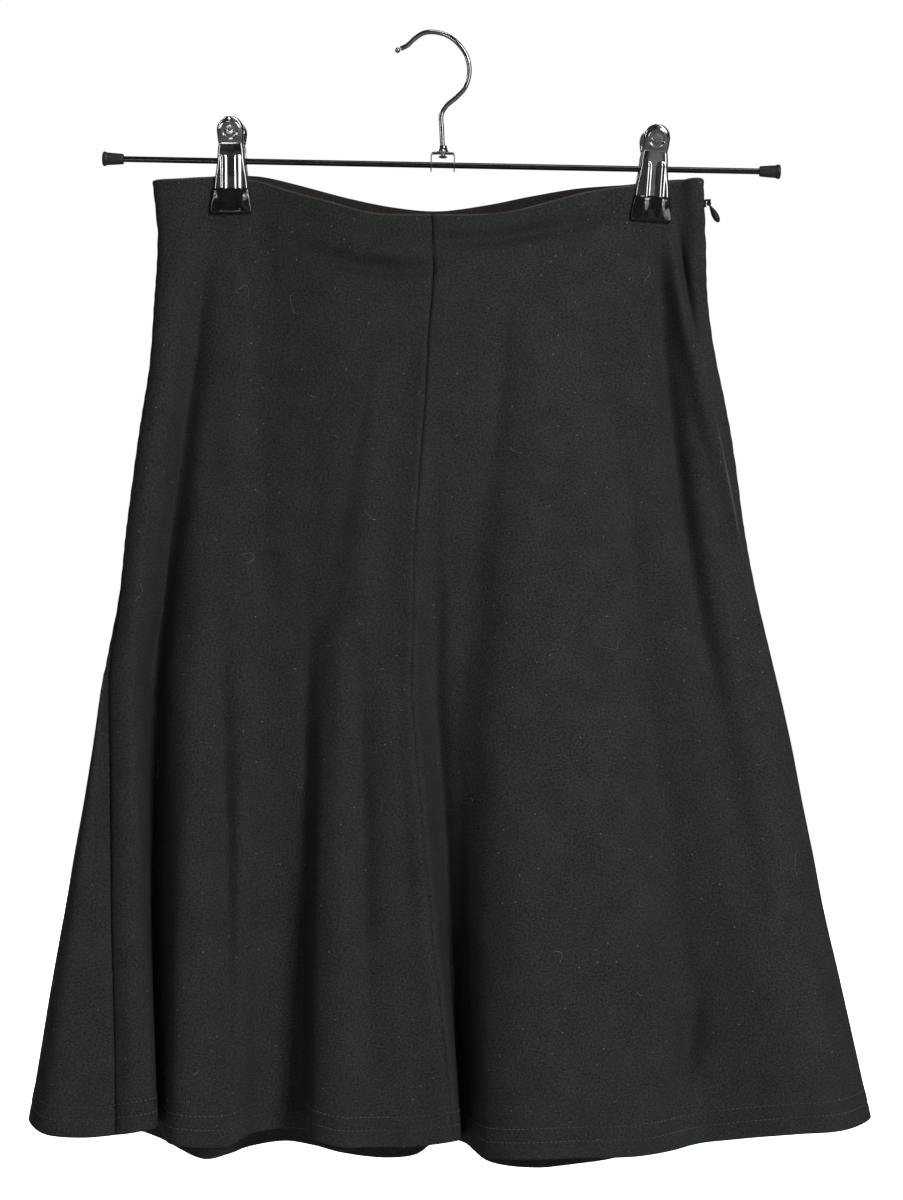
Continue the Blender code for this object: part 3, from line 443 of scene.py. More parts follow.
# Pale hairs caught in the knit: gore, share across, share down, length, heading, curl
HAIRS = (
    (0, 0.34, 0.118, 11.0, 20, 2.6),
    (0, 0.50, 0.124, 13.0, 70, -3.2),
    (0, 0.09, 0.395, 12.0, 100, 1.4),
    (0, 0.24, 0.555, 10.0, 95, -0.9),
    (0, 0.43, 0.355, 13.0, 60, 3.6),
    (0, 0.62, 0.560, 7.0, 160, 2.5),
    (0, 0.80, 0.300, 8.0, 40, -2.0),
    (0, 0.30, 0.820, 8.0, 130, 1.5),
    (1, 0.75, 0.100, 10.0, 110, 0.6),
    (1, 0.30, 0.240, 9.0, 30, -2.4),
    (1, 0.55, 0.430, 9.0, 150, 1.5),
    (1, 0.40, 0.700, 10.0, 60, 1.8),
    (1, 0.86, 0.640, 13.0, 110, -2.2),
    (1, 0.20, 0.900, 9.0, 190, 1.2),
    (2, 0.40, 0.300, 10.0, 50, 2.4),
    (2, 0.70, 0.620, 9.0, 120, -2.0),
    (3, 0.35, 0.450, 11.0, 80, 1.6),
    (3, 0.65, 0.200, 8.0, 20, 2.4),
)
HAIR_RADIUS = 0.06
HAIR_POINTS = 15
LINT_COUNT = 90
LINT_SEED = 7
# Loose thread ends at the hem: gore, share across, length, lean
THREAD_ENDS = (
    (1, 0.985, 11.0, 3.0),
    (0, 0.985, 7.0, -4.0),
    (3, 0.5, 8.0, 4.0),
)
THREAD_END_PLACE = 0.985
THREAD_END_RADIUS = 0.14


# Sums that the shapes share

def smooth_curve(knots, steps, closed):
    """Centripetal Catmull-Rom curve through the knots, with that many steps to each span.

    Time between knots grows with the square root of the chord, and a point is three levels
    of straight interpolation between four neighbouring knots. An open curve ends on its
    first and last knots, which are mirrored once to give it its end tangents.
    """
    if closed:
        p = [np.roll(knots, shift, axis=0) for shift in (1, 0, -1, -2)]
    else:
        first = 2 * knots[:1] - knots[1:2]
        last = 2 * knots[-1:] - knots[-2:-1]
        knots = np.concatenate([first, knots, last])
        p = [knots[:-3], knots[1:-2], knots[2:-1], knots[3:]]
    chord = [np.sqrt(np.linalg.norm((p[k + 1] - p[k])[:, :3], axis=1)) for k in range(3)]
    t = [np.zeros_like(chord[0])]
    for length in chord:
        t.append(t[-1] + length)
    t = [value[:, None, None] for value in t]
    now = t[1] + (t[2] - t[1]) * (np.arange(steps) / steps)[None, :, None]
    level = [value[:, None, :] for value in p]
    for width in (1, 2, 3):
        below = level
        level = []
        for k in range(4 - width):
            lo, hi = (t[1], t[2]) if width == 3 else (t[k], t[k + width])
            level.append(((hi - now) * below[k] + (now - lo) * below[k + 1]) / (hi - lo))
    points = level[0].reshape(-1, knots.shape[1])
    if not closed:
        points = np.concatenate([points, knots[-2:-1]])
    return points


def share_along(points):
    """Share of the way along a line of points, from 0 to 1."""
    steps = np.linalg.norm(np.diff(points[:, :3], axis=0), axis=1)
    way = np.concatenate([[0.0], np.cumsum(steps)])
    return way / way[-1]


def at_share(points, shares):
    """Points at those shares of the way along a line of points."""
    own = share_along(points)
    return np.stack([np.interp(shares, own, column) for column in points.T], axis=1)


def glide(x, y, at):
    """Smooth value at some places, from known values at rising places, by cubic Hermite arcs."""
    slope = np.gradient(y, x)
    k = np.clip(np.searchsorted(x, at, side="right") - 1, 0, len(x) - 2)
    width = x[k + 1] - x[k]
    q = (at - x[k]) / width
    keep = (1 + 2 * q) * (1 - q) ** 2 * y[k] + q * q * (3 - 2 * q) * y[k + 1]
    lean = q * (1 - q) ** 2 * slope[k] - q * q * (1 - q) * slope[k + 1]
    return keep + lean * width


def smooth_columns(rows, at):
    """Columns of a table that rises in its first one, glided to some values of that column."""
    known = np.array(rows, dtype=float)
    return [glide(known[:, 0], column, at) for column in known[:, 1:].T]


def ease(low, high, value):
    """0 below low, 1 above high and a smooth step between."""
    q = np.clip((value - low) / (high - low), 0, 1)
    return q * q * (3 - 2 * q)


def bell(value, width):
    """1 at zero, falling off on both sides over that width."""
    return np.exp(-(value / width) ** 2)


def unit(vectors):
    """Vectors of length 1."""
    return vectors / np.maximum(np.linalg.norm(vectors, axis=-1, keepdims=True), 1e-9)


def turn_angles(count):
    """Angles at even steps round a full turn, without the last."""
    return np.arange(count) / count * TAU


def even_places(line, normal, pitch):
    """Places at even steps along a line, with the line's normals and headings there."""
    total = np.linalg.norm(np.diff(line, axis=0), axis=1).sum()
    count = int(total / pitch)
    shares = (np.arange(count) + 0.5) / count
    both = at_share(np.concatenate([line, normal], axis=1), shares)
    ahead = at_share(line, np.minimum(shares + 0.5 / count, 1))
    before = at_share(line, np.maximum(shares - 0.5 / count, 0))
    return both[:, :3], both[:, 3:], ahead - before


# The hung cloth

def ring_spans(edge):
    """Pieces of a closed edge, one to a gore, with the knot number as a last column."""
    rows = [row for gore in edge.values() for row in gore]
    curve = smooth_curve(np.array(rows, dtype=float), SPAN_STEPS, closed=True)
    marks = np.cumsum([0] + [len(gore) for gore in edge.values()]) * SPAN_STEPS
    curve = np.concatenate([curve, curve[:1]])
    knot = np.arange(len(curve)) / SPAN_STEPS
    curve = np.column_stack([curve, knot])
    return [curve[start:end + 1] for start, end in zip(marks, marks[1:])]


def creased(points, side, held, creases):
    """Push points inwards along creases; side is -1 in front and +1 behind.

    A crease follows a quadratic bow through three places. Its depth fades to both ends as
    a half sine and across as a bell, with a shallow rise on either side. It is nothing
    where the clips hold the cloth.
    """
    s = np.linspace(0, 1, CREASE_SAMPLES)
    bow = np.stack([(1 - s) * (1 - 2 * s), 4 * s * (1 - s), s * (2 * s - 1)])
    for face, sign in (("front", -1), ("back", 1)):
        mask = np.clip(side * sign * 2, 0, 1) * held
        for *places, width, depth in creases[face]:
            x = np.array(places[0::2]) @ bow
            z = np.array(places[1::2]) @ bow
            reach = 4 * width
            near = (points[..., 0] > x.min() - reach) & (points[..., 0] < x.max() + reach)
            near &= (points[..., 2] > -z.max() - reach) & (points[..., 2] < reach - z.min())
            spot = points[near]
            away = np.hypot(spot[:, 0:1] - x, spot[:, 2:3] + z)
            off = away.min(axis=1) / width
            way = np.clip(s[away.argmin(axis=1)], *CREASE_ENDS)
            fade = np.sin(np.pi * way) ** CREASE_FADE
            shape = bell(off, 1.0) - CREASE_BANK * bell(off, 2.0)
            spot[:, 1] -= sign * depth * fade * shape * mask[near]
            points[near] = spot
    return points


def skirt_surface(down, across):
    """Middle surface of the cloth, round from the left seam.

    One row for each share of the length and, in each gore, one column for each share of its
    width. A thread runs from its share of the waist edge to the same share of the hem edge.
    Across, it spreads as the outline does, then each row is stretched to reach the outline.
    In depth, a fold grows from its start to the hem, over a soft belly that the cloth takes
    below the waist.
    """
    top = np.concatenate([at_share(span, across[:-1]) for span in ring_spans(WAIST)])
    foot = np.concatenate([at_share(span, across[:-1]) for span in ring_spans(HEM)])
    knot = foot[:, -1]
    counts = [len(gore) for gore in HEM.values()]
    half, whole = sum(counts[:2]), sum(counts)
    wave = np.where(knot < half, -np.sin(np.pi * knot / half),
                    np.sin(np.pi * (knot - half) / (whole - half)))
    side = np.sign(wave) * np.abs(wave) ** SIDE_SHARE
    v = np.asarray(down)[:, None]
    left, right = smooth_columns(OUTLINE, v)
    grown = right - left - (OUTLINE[0][2] - OUTLINE[0][1])
    grown = grown / (OUTLINE[-1][2] - OUTLINE[-1][1] - (OUTLINE[0][2] - OUTLINE[0][1]))
    sway = foot[:, 4] * np.sin(np.pi * v ** SWAY_PLACE) ** SWAY_NARROWNESS
    x = top[:, 0] + (foot[:, 0] - top[:, 0]) * grown + sway
    low = x.min(axis=1, keepdims=True)
    high = x.max(axis=1, keepdims=True)
    x = left + (x - low) / (high - low) * (right - left)
    start = np.maximum(foot[:, 3], PINCH_END)
    q = np.clip((v - start) / (1 - start), 0, 1)
    rise = (1 + FOLD_SOFTNESS) * q * q / (q + FOLD_SOFTNESS)
    belly = BELLY * ease(PINCH_END, BELLY_FULL, v) * (1 - v) * side
    y = top[:, 1] + (foot[:, 1] - top[:, 1]) * rise + belly
    z = -(top[:, 2] + (foot[:, 2] - top[:, 2]) * v)
    held = ease(PINCH_END, RELEASED, v) * np.ones_like(side)
    points = creased(np.stack([x, y, z], axis=2), side, held, CREASES)
    from_middle = np.abs(points[..., 0] - GRIP_MIDDLE)
    free = ease(*GRIP_HOLD, np.abs(from_middle - GRIP_REACH)) * ease(0.0, EDGE_HELD, v)
    loose = np.maximum(ease(PINCH_END * 0.5, RELEASED, v), free * (from_middle < GRIP_REACH))
    points = creased(points, side, loose, PUCKERS)
    for across_waves, down_waves, turn, height in RIPPLES:
        angle = TAU * MM * (across_waves * points[..., 0] + down_waves * points[..., 2]) + turn
        points[..., 1] += height * np.sin(angle + side) * loose
    return points


def ring_normals(points):
    """Outward normals of a closed ring surface, from the steps to its neighbours."""
    along = np.roll(points, -1, axis=1) - np.roll(points, 1, axis=1)
    return unit(np.cross(np.gradient(points, axis=0), along))


def sheet_normals(points):
    """Normals of an open sheet of points, from the steps to its neighbours."""
    return unit(np.cross(np.gradient(points, axis=0), np.gradient(points, axis=1)))


def edge_distances(points):
    """Distances along a sheet to its top, foot, first side and last side, in millimetres."""
    down = np.linalg.norm(np.diff(points, axis=0), axis=2)
    down = np.concatenate([np.zeros((1, points.shape[1])), np.cumsum(down, axis=0)])
    over = np.linalg.norm(np.diff(points, axis=1), axis=2)
    over = np.concatenate([np.zeros((points.shape[0], 1)), np.cumsum(over, axis=1)], axis=1)
    return down, down[-1] - down, over, over[:, -1:] - over


def edge_rounding(distances, radius):
    """0 on the edges of a sheet, rising as a quarter circle to 1 a radius away from them."""
    factor = 1.0
    for distance in distances:
        q = np.clip(distance / radius, 0, 1)
        factor = factor * np.sqrt(1 - (1 - q) ** 2)
    return factor


def seam_edged(points, first_gap, last_gap):
    """A gore's grid drawn back from both seams, with extra columns close to them.

    Next to a seam, columns stand at fixed distances from it on the straight line to the
    second column, so that the cloth's rounded edge has the same size from waist to hem.
    """
    def side(edge, neighbour, gap):
        step = unit(neighbour - edge)
        return np.stack([edge + step * (gap + d)[:, None] for d in EDGE_STEPS], axis=1)

    first = side(points[:, 0], points[:, 2], first_gap)
    last = side(points[:, -1], points[:, -3], last_gap)[:, ::-1]
    return np.concatenate([first, points[:, 2:-2], last], axis=1)


# Meshes

def grid_faces(rows, columns, around=False, capped=False, first=0):
    """Faces of a grid of points; around closes each row, and capped closes both ends."""
    number = first + np.arange(rows * columns).reshape(rows, columns)
    following = np.roll(number, -1, axis=1) if around else number[:, 1:]
    own = number if around else number[:, :-1]
    quads = np.stack([own[:-1], own[1:], following[1:], following[:-1]], axis=-1)
    faces = quads.reshape(-1, 4).tolist()
    if capped:
        faces.append(number[0].tolist())
        faces.append(number[-1][::-1].tolist())
    return faces


def mesh_object(name, points, faces, look, body=BODY, uv=None, sharp=None, instead_of=None):
    """An object from points in millimetres, riding on its body with its finish; the look's slot is not
    used.
    """
    finish, slot = look
    mesh = bpy.data.meshes.new(name)
    mesh.from_pydata(np.asarray(points, dtype=float) * MM, [], faces)
    mesh.shade_smooth()
    if sharp:
        mesh.set_sharp_from_angle(angle=math.radians(sharp))
    if uv is not None:
        corner = np.empty(len(mesh.loops), dtype=np.int32)
        mesh.loops.foreach_get("vertex_index", corner)
        layer = mesh.uv_layers.new(name="cloth")
        layer.uv.foreach_set("vector", uv[corner].astype(np.float32).ravel())
    mesh.materials.append(finish)
    made = bpy.data.objects.new(name, mesh)
    bpy.context.scene.collection.objects.link(made)
    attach(made, body)
    if instead_of:
        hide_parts(instead_of)
    return made


def grids_object(name, grids, look, capped=True, **options):
    """One object from several grids of points that close round, such as tubes and turned pieces."""
    points = []
    faces = []
    first = 0
    for grid in grids:
        rows, columns = grid.shape[:2]
        faces += grid_faces(rows, columns, True, capped, first)
        points.append(grid.reshape(-1, 3))
        first += rows * columns
    return mesh_object(name, np.concatenate(points), faces, look, **options)


def leaf_object(name, middle, normals, outer, inner, look, uv=None, **options):
    """A closed thin sheet: its outer and inner faces meet on the edges of its middle surface."""
    rows, columns = middle.shape[:2]
    front = middle + normals * outer[..., None]
    back = middle - normals * inner[..., None]
    behind = np.arange(rows * columns).reshape(rows, columns)
    behind[1:-1, 1:-1] = rows * columns + np.arange((rows - 2) * (columns - 2)).reshape(
        rows - 2, columns - 2)
    faces = grid_faces(rows, columns)
    under = np.stack([behind[:-1, :-1], behind[:-1, 1:], behind[1:, 1:], behind[1:, :-1]], axis=-1)
    faces += under.reshape(-1, 4).tolist()
    points = np.concatenate([front.reshape(-1, 3), back[1:-1, 1:-1].reshape(-1, 3)])
    if uv is not None:
        uv = np.concatenate([uv.reshape(-1, 2), uv[1:-1, 1:-1].reshape(-1, 2)])
    return mesh_object(name, points, faces, look, uv=uv, **options)


def strip_object(name, middle, normals, rounding, half_wall, look, **options):
    """A closed strip of cloth with the same rounded wall on both sides of its middle surface."""
    distances = edge_distances(middle)
    wall = edge_rounding(distances, rounding) * half_wall
    uv = np.stack([distances[2], -distances[0]], axis=2) * MM
    return leaf_object(name, middle, normals, wall, wall, look, uv=uv, **options)


def pressed_object(name, middle, place, half_sheet, look, **options):
    """A closed metal sheet in its place, with edges as round as the sheet is thick."""
    wall = edge_rounding(edge_distances(middle), half_sheet) * half_sheet
    normals = sheet_normals(middle) @ np.array(place.to_3x3()).T
    return leaf_object(name, moved(middle, place), normals, wall, wall, look, **options)


def turned_object(name, profile, sides, place, look, **options):
    """A turned piece in its place, from its profile of radius and height."""
    return grids_object(name, [moved(turned(profile, sides), place)], look, **options)


def tube(path, radius, sides):
    """Rings of a round tube along a path, each square to the path's own direction.

    The rings' first axis starts square to the path and is carried along it, losing at each
    step only what leans along the new direction, so that the tube doesn't twist.
    """
    path = np.asarray(path, dtype=float)
    radius = np.broadcast_to(radius, len(path))
    along = unit(np.gradient(path, axis=0))
    start = np.array([0.0, 1.0, 0.0]) if abs(along[0, 1]) < 0.9 else np.array([1.0, 0.0, 0.0])
    axis = []
    for direction in along:
        start = unit(start - direction * np.dot(start, direction))
        axis.append(start)
    axis = np.array(axis)
    other = np.cross(along, axis)
    angle = turn_angles(sides)
    ring = (axis[:, None] * np.cos(angle)[None, :, None]
            + other[:, None] * np.sin(angle)[None, :, None])
    return path[:, None] + ring * radius[:, None, None]


def turned(profile, sides):
    """Rings of a turned piece about Z, from a profile of radius and height, top to bottom."""
    profile = np.asarray(profile, dtype=float)
    angle = turn_angles(sides)
    return np.stack([
        profile[:, 0:1] * np.cos(angle),
        profile[:, 0:1] * np.sin(angle),
        np.broadcast_to(profile[:, 1:2], (len(profile), sides)),
    ], axis=2)


def moved(points, matrix):
    """Points in millimetres carried by a matrix."""
    turn = np.array(matrix.to_3x3())
    return points @ turn.T + np.array(matrix.translation)


def placement(location, rotation=(0.0, 0.0, 0.0)):
    """Matrix of a place and a turn, both in the part's own order."""
    return Matrix.Translation(Vector(location)) @ Euler(rotation).to_matrix().to_4x4()


def bead(length, width, height, sides=6, rings=5):
    """A small rounded bar along X: its radius follows a flattened half circle."""
    cut = 0.14 * np.pi
    angle = np.linspace(cut, np.pi - cut, rings)
    around = turn_angles(sides)
    x = -length / 2 * np.cos(angle) / np.cos(cut)
    thick = np.sin(angle) ** 0.6
    return np.stack([
        np.broadcast_to(x[:, None], (rings, sides)),
        thick[:, None] * width / 2 * np.cos(around),
        thick[:, None] * height / 2 * np.sin(around),
    ], axis=2)


def stamped(name, grid, places, along, up, look):
    """Copies of a small grid, each turned to its own direction and up vector."""
    rows, columns = grid.shape[:2]
    along = unit(along)
    side = unit(np.cross(up, along))
    axes = np.stack([along, side, np.cross(along, side)], axis=1)
    points = places[:, None] + grid.reshape(-1, 3) @ axes
    each = grid_faces(rows, columns, around=True, capped=True)
    faces = []
    for copy in range(len(places)):
        first = copy * rows * columns
        faces += [[corner + first for corner in face] for face in each]
    return mesh_object(name, points.reshape(-1, 3), faces, look)


# Finishes

def feed(tree, socket, value):
    """Link a socket to another one, or set its constant value."""
    if isinstance(value, bpy.types.NodeSocket):
        tree.links.new(value, socket)
    elif socket.type == "RGBA":
        socket.default_value = (*value, 1.0)
    else:
        socket.default_value = value


def fed(tree, made, **inputs):
    """A node with its inputs fed by name."""
    for name, value in inputs.items():
        feed(tree, made.inputs[name.replace("_", " ")], value)
    return made


def node(tree, kind, **inputs):
    """A new shader node with its inputs fed by name."""
    return fed(tree, tree.nodes.new("ShaderNode" + kind), **inputs)


def ramp(tree, value, *stops):
    """A colour ramp on a value, from stops of place and colour."""
    made = node(tree, "ValToRGB", Fac=value)
    elements = made.color_ramp.elements
    elements.remove(elements[1])
    elements[0].position = stops[0][0]
    for place, _ in stops[1:]:
        elements.new(place)
    for stop, (_, colour) in zip(elements, stops):
        stop.color = (*colour, 1.0)
    return made.outputs["Color"]


def noise(tree, vector, scale, detail=2.0, rough=0.5):
    """Height of a noise texture on a vector."""
    made = node(tree, "TexNoise", Vector=vector, Scale=scale, Detail=detail, Roughness=rough)
    return made.outputs["Fac"]


def stretched(tree, vector, scale):
    """A vector stretched along its axes."""
    return node(tree, "Mapping", Vector=vector, Scale=scale).outputs["Vector"]


def arithmetic(tree, operation, *values):
    """A sum of numbers or sockets."""
    made = tree.nodes.new("ShaderNodeMath")
    made.operation = operation
    for socket, value in zip(made.inputs, values):
        feed(tree, socket, value)
    return made.outputs["Value"]


def mixed(tree, share, first, second):
    """A colour mix of two sockets or colours."""
    made = tree.nodes.new("ShaderNodeMix")
    made.data_type = "RGBA"
    for value, place in ((share, 0), (first, 6), (second, 7)):
        feed(tree, made.inputs[place], value)
    return made.outputs[2]


def bumped(tree, height, strength, distance):
    """Normal of a surface raised by a height, with the distance in metres."""
    made = node(tree, "Bump", Height=height, Strength=strength, Distance=distance)
    return made.outputs["Normal"]


def on_object(tree):
    """Place on a piece, in metres."""
    return node(tree, "TexCoord").outputs["Object"]


def apart(tree, vector):
    """The three numbers of a vector, by name."""
    return node(tree, "SeparateXYZ", Vector=vector).outputs


def shade(colour, factor, lift=0.0):
    """A colour made darker or lighter."""
    return tuple(c * factor + lift for c in colour)


def blank(name, **sockets):
    """A material with a Principled shader whose constant sockets are set directly."""
    made = bpy.data.materials.new(name)
    made.use_nodes = True
    tree = made.node_tree
    return made, tree, fed(tree, tree.nodes["Principled BSDF"], **sockets)


def painted_highlight_places(tree, flat, place):
    """Where painted highlights go on the knit: the very edge of the waist, and the rolled fold's edge.

    The fold's edge is a straight line down the front, fading from its middle to both ends.
    """
    at = apart(tree, place)
    edge = arithmetic(tree, "GREATER_THAN", apart(tree, flat)["Y"], -0.0010)
    shifted = arithmetic(tree, "MULTIPLY_ADD", at["Z"], FOLD_EDGE_SLOPE, at["X"])
    off = arithmetic(tree, "ABSOLUTE", arithmetic(tree, "ADD", shifted, -FOLD_EDGE_PLACE))
    below = arithmetic(tree, "ABSOLUTE", arithmetic(tree, "ADD", at["Z"], -FOLD_EDGE_HEIGHT))
    ahead = arithmetic(tree, "LESS_THAN", at["Y"], 0.002)
    fade = arithmetic(tree, "MULTIPLY_ADD", below, -1.3 / FOLD_EDGE_REACH, 1.3)
    within = arithmetic(tree, "MULTIPLY", arithmetic(tree, "MAXIMUM", fade, 0.0), ahead)
    crest = arithmetic(tree, "MULTIPLY", arithmetic(tree, "LESS_THAN", off, FOLD_EDGE_HALF), within)
    return arithmetic(tree, "MAXIMUM", edge, crest)


def knit_finish(name, deep, lit, fleck, highlight_colour):
    """Brushed double knit: a heather of two darks in the cloth's own UV, fine wales, nap and lint."""
    made, tree, shader = blank(name, Roughness=0.95, Sheen_Weight=0.018, Sheen_Roughness=0.4,
                               Sheen_Tint=(0.75, 0.80, 0.80), Specular_IOR_Level=0.02)
    uv = node(tree, "UVMap")
    uv.uv_map = "cloth"
    flat = uv.outputs["UV"]
    place = on_object(tree)
    heather = noise(tree, stretched(tree, flat, HEATHER), 1.0, 3.0, 0.7)
    cloud = noise(tree, place, 60.0, 3.0, 0.6)
    # Painted light tint: by height the lit yarn is warm half way down and cool towards the waist and
    # hem, with noise on top
    level = arithmetic(tree, "ADD", apart(tree, place)["Z"], -WARM_HEIGHT)
    height = arithmetic(tree, "MULTIPLY_ADD", arithmetic(tree, "ABSOLUTE", level), -2.6, 0.75)
    tint = arithmetic(tree, "MULTIPLY_ADD", noise(tree, place, 7.0, 1.0), 0.8, height)
    warm, cool = [tuple(c * k for c, k in zip(lit, shift)) for shift in WARM_AND_COOL]
    mottled = arithmetic(tree, "MULTIPLY_ADD", cloud, 0.14, arithmetic(tree, "MULTIPLY", heather, 0.86))
    share = node(tree, "MapRange", Value=mottled, From_Min=0.34, From_Max=0.67)
    yarn = mixed(tree, share.outputs["Result"], deep, ramp(tree, tint, (0.45, cool), (1.0, warm)))
    cell = node(tree, "TexVoronoi", Vector=stretched(tree, flat, FLECKS), Scale=1.0)
    near = arithmetic(tree, "LESS_THAN", cell.outputs["Distance"], FLECK_SIZE)
    pick = node(tree, "SeparateColor", Color=cell.outputs["Color"])
    rare = arithmetic(tree, "GREATER_THAN", pick.outputs["Red"], FLECK_RARITY)
    speck = arithmetic(tree, "MULTIPLY", arithmetic(tree, "MULTIPLY", near, rare), 0.85)
    # Painted highlight: a pale brown line on the waist's very edge and on the rolled fold's edge,
    # broken by noise
    highlight_share = arithmetic(tree, "MULTIPLY", painted_highlight_places(tree, flat, place), noise(tree, place, 70.0))
    wale = node(tree, "TexWave", Vector=stretched(tree, flat, WALES), Scale=1.0, Distortion=2.5,
                Detail=2.0, Detail_Scale=3.0)
    nap = noise(tree, stretched(tree, flat, NAP), 1.0, 2.0, 0.6)
    height = arithmetic(tree, "MULTIPLY_ADD", wale.outputs["Fac"], 0.35, nap)
    fed(tree, shader, Base_Color=mixed(tree, highlight_share, mixed(tree, speck, yarn, fleck), highlight_colour),
        Normal=bumped(tree, height, 0.55, 0.0004))
    return made


def metal_finish(name, colour, rough, smear, brush):
    """Plated metal: handling smears change its roughness, and a faint grain breaks reflections."""
    made, tree, shader = blank(name, Metallic=1.0)
    place = on_object(tree)
    film = noise(tree, place, 90.0, 4.0, 0.6)
    grain = noise(tree, stretched(tree, place, brush), 1.0, 3.0)
    fed(tree, shader, Base_Color=ramp(tree, film, (0.3, shade(colour, 0.8)), (0.62, colour)),
        Roughness=arithmetic(tree, "MULTIPLY_ADD", film, smear, rough),
        Normal=bumped(tree, grain, 0.01, 0.0001))
    return made


def gloss_finish(name, colour, rough, lump, coat):
    """Dipped or moulded plastic: uneven skin, dust that dulls it in places."""
    made, tree, shader = blank(name, Coat_Weight=coat, Coat_Roughness=0.05, Specular_IOR_Level=0.6)
    place = on_object(tree)
    dust = noise(tree, place, 260.0, 3.0, 0.65)
    pale = shade(colour, 1.5, 0.001)
    fed(tree, shader, Base_Color=ramp(tree, dust, (0.45, colour), (0.78, pale)),
        Roughness=arithmetic(tree, "MULTIPLY_ADD", dust, 0.16, rough),
        Normal=bumped(tree, noise(tree, place, lump), 0.9, 0.0006))
    return made


def fibre_finish(name, colour, twist, dullest):
    """Spun thread or lint: light and dark turns along it, duller by patches of a few centimetres."""
    made, tree, shader = blank(name, Roughness=0.85, Sheen_Weight=0.2, Specular_IOR_Level=0.2)
    place = on_object(tree)
    turns = noise(tree, place, twist)
    spun = ramp(tree, turns, (0.35, shade(colour, 0.55)), (0.65, colour))
    shown = ramp(tree, noise(tree, place, 24.0, 1.0), (0.42, (0.0, 0.0, 0.0)), (0.58, (1.0, 1.0, 1.0)))
    fed(tree, shader, Base_Color=mixed(tree, shown, shade(colour, dullest), spun),
        Normal=bumped(tree, turns, 0.4, 0.0001))
    return made


def make_looks():
    """Every finish of the skirt and its hanger with the record's slot it takes, by name."""
    return {
        # The last colour of each knit is its painted highlight along the edges; the facing's is dark
        "knit": (knit_finish("black_knit", (0.0075, 0.0082, 0.0088), (0.0330, 0.0345, 0.0340),
                             (0.15, 0.15, 0.14), (0.075, 0.066, 0.060)), "cloth"),
        # Painted shade: the facing takes a copy of the knit a little darker and warmer, without pale
        # flecks
        "facing": (knit_finish("facing_knit", (0.0090, 0.0086, 0.0080), (0.0310, 0.0295, 0.0270),
                               (0.03, 0.03, 0.03), (0.02, 0.02, 0.02)), "cloth"),
        "chrome": (metal_finish("chrome", (0.72, 0.71, 0.72), 0.03, 0.14, (120, 120, 900)), "chrome"),
        "dark_chrome": (metal_finish("dark_chrome", (0.16, 0.155, 0.15), 0.12, 0.16,
                                     (60, 1200, 1200)), "dark_chrome"),
        "clip_dip": (gloss_finish("clip_dip", (0.0045, 0.0045, 0.0052), 0.0, 140.0, 0.8), "clip_dip"),
        "rod_cap": (gloss_finish("rod_cap", (0.012, 0.012, 0.013), 0.42, 420.0, 0.0), "rod_cap"),
        "zip_metal": (gloss_finish("zip_metal", (0.007, 0.007, 0.008), 0.24, 300.0, 0.2), "zip_metal"),
        "coil": (gloss_finish("zip_coil", (0.010, 0.010, 0.011), 0.3, 500.0, 0.0), "zip_metal"),
        "thread": (fibre_finish("hem_thread", (0.085, 0.09, 0.09), 1600.0, 0.22), "cloth"),
        "lint": (fibre_finish("pale_lint", (0.24, 0.235, 0.22), 900.0, 0.6), "cloth"),
    }


# Cloth pieces

def row_shares():
    """Shares of the length with a row: close together at both edges and over the hem."""
    edge = np.array(EDGE_STEPS) / THREAD_LENGTH
    foot = 1 - edge[::-1] * FOOT_STEP
    hem_start = 1 - (HEM_DEPTH + HEM_MARGIN) / THREAD_LENGTH
    body = np.linspace(FIRST_ROW, hem_start, BODY_ROWS)
    hem = np.linspace(hem_start, foot[0], HEM_ROWS + 2)[1:-1]
    return np.concatenate([edge, body, hem, foot])


def gore_relief(distances, middle):
    """How far the outer face stands proud: turn-up, stitch lines, seam allowances and facing."""
    top, foot, first, last = distances
    seam = np.minimum(first, last)
    way = middle[..., 2]
    two_layers = TURN_UP_LIFT * (1 - ease(HEM_DEPTH - 1.5, HEM_DEPTH + 1.0, foot))
    stitch_lines = sum(bell(foot - row, STITCH_DENT_WIDTH) for row in HEM_STITCH_ROWS)
    allowance = ALLOWANCE_LIFT * (1 - ease(*ALLOWANCE_END, seam)) * ease(*ALLOWANCE_RISE, seam)
    puckers = np.sin(way * 0.55 + np.sin(way * 0.083) * 2.0)
    puckers = puckers * bell(seam - SEAM_PUCKER_PLACE, SEAM_PUCKER_WIDTH)
    facing = bell(top - FACING_DENT_PLACE, FACING_DENT_WIDTH)
    facing = FACING_DENT * facing * (0.35 + 0.65 * bell(middle[..., 0] + 18, 42.0))
    roll = WAIST_ROLL * bell(top - WAIST_ROLL_PLACE, WAIST_ROLL_WIDTH)
    return two_layers - STITCH_DENT * stitch_lines + allowance + SEAM_PUCKER * puckers - facing + roll


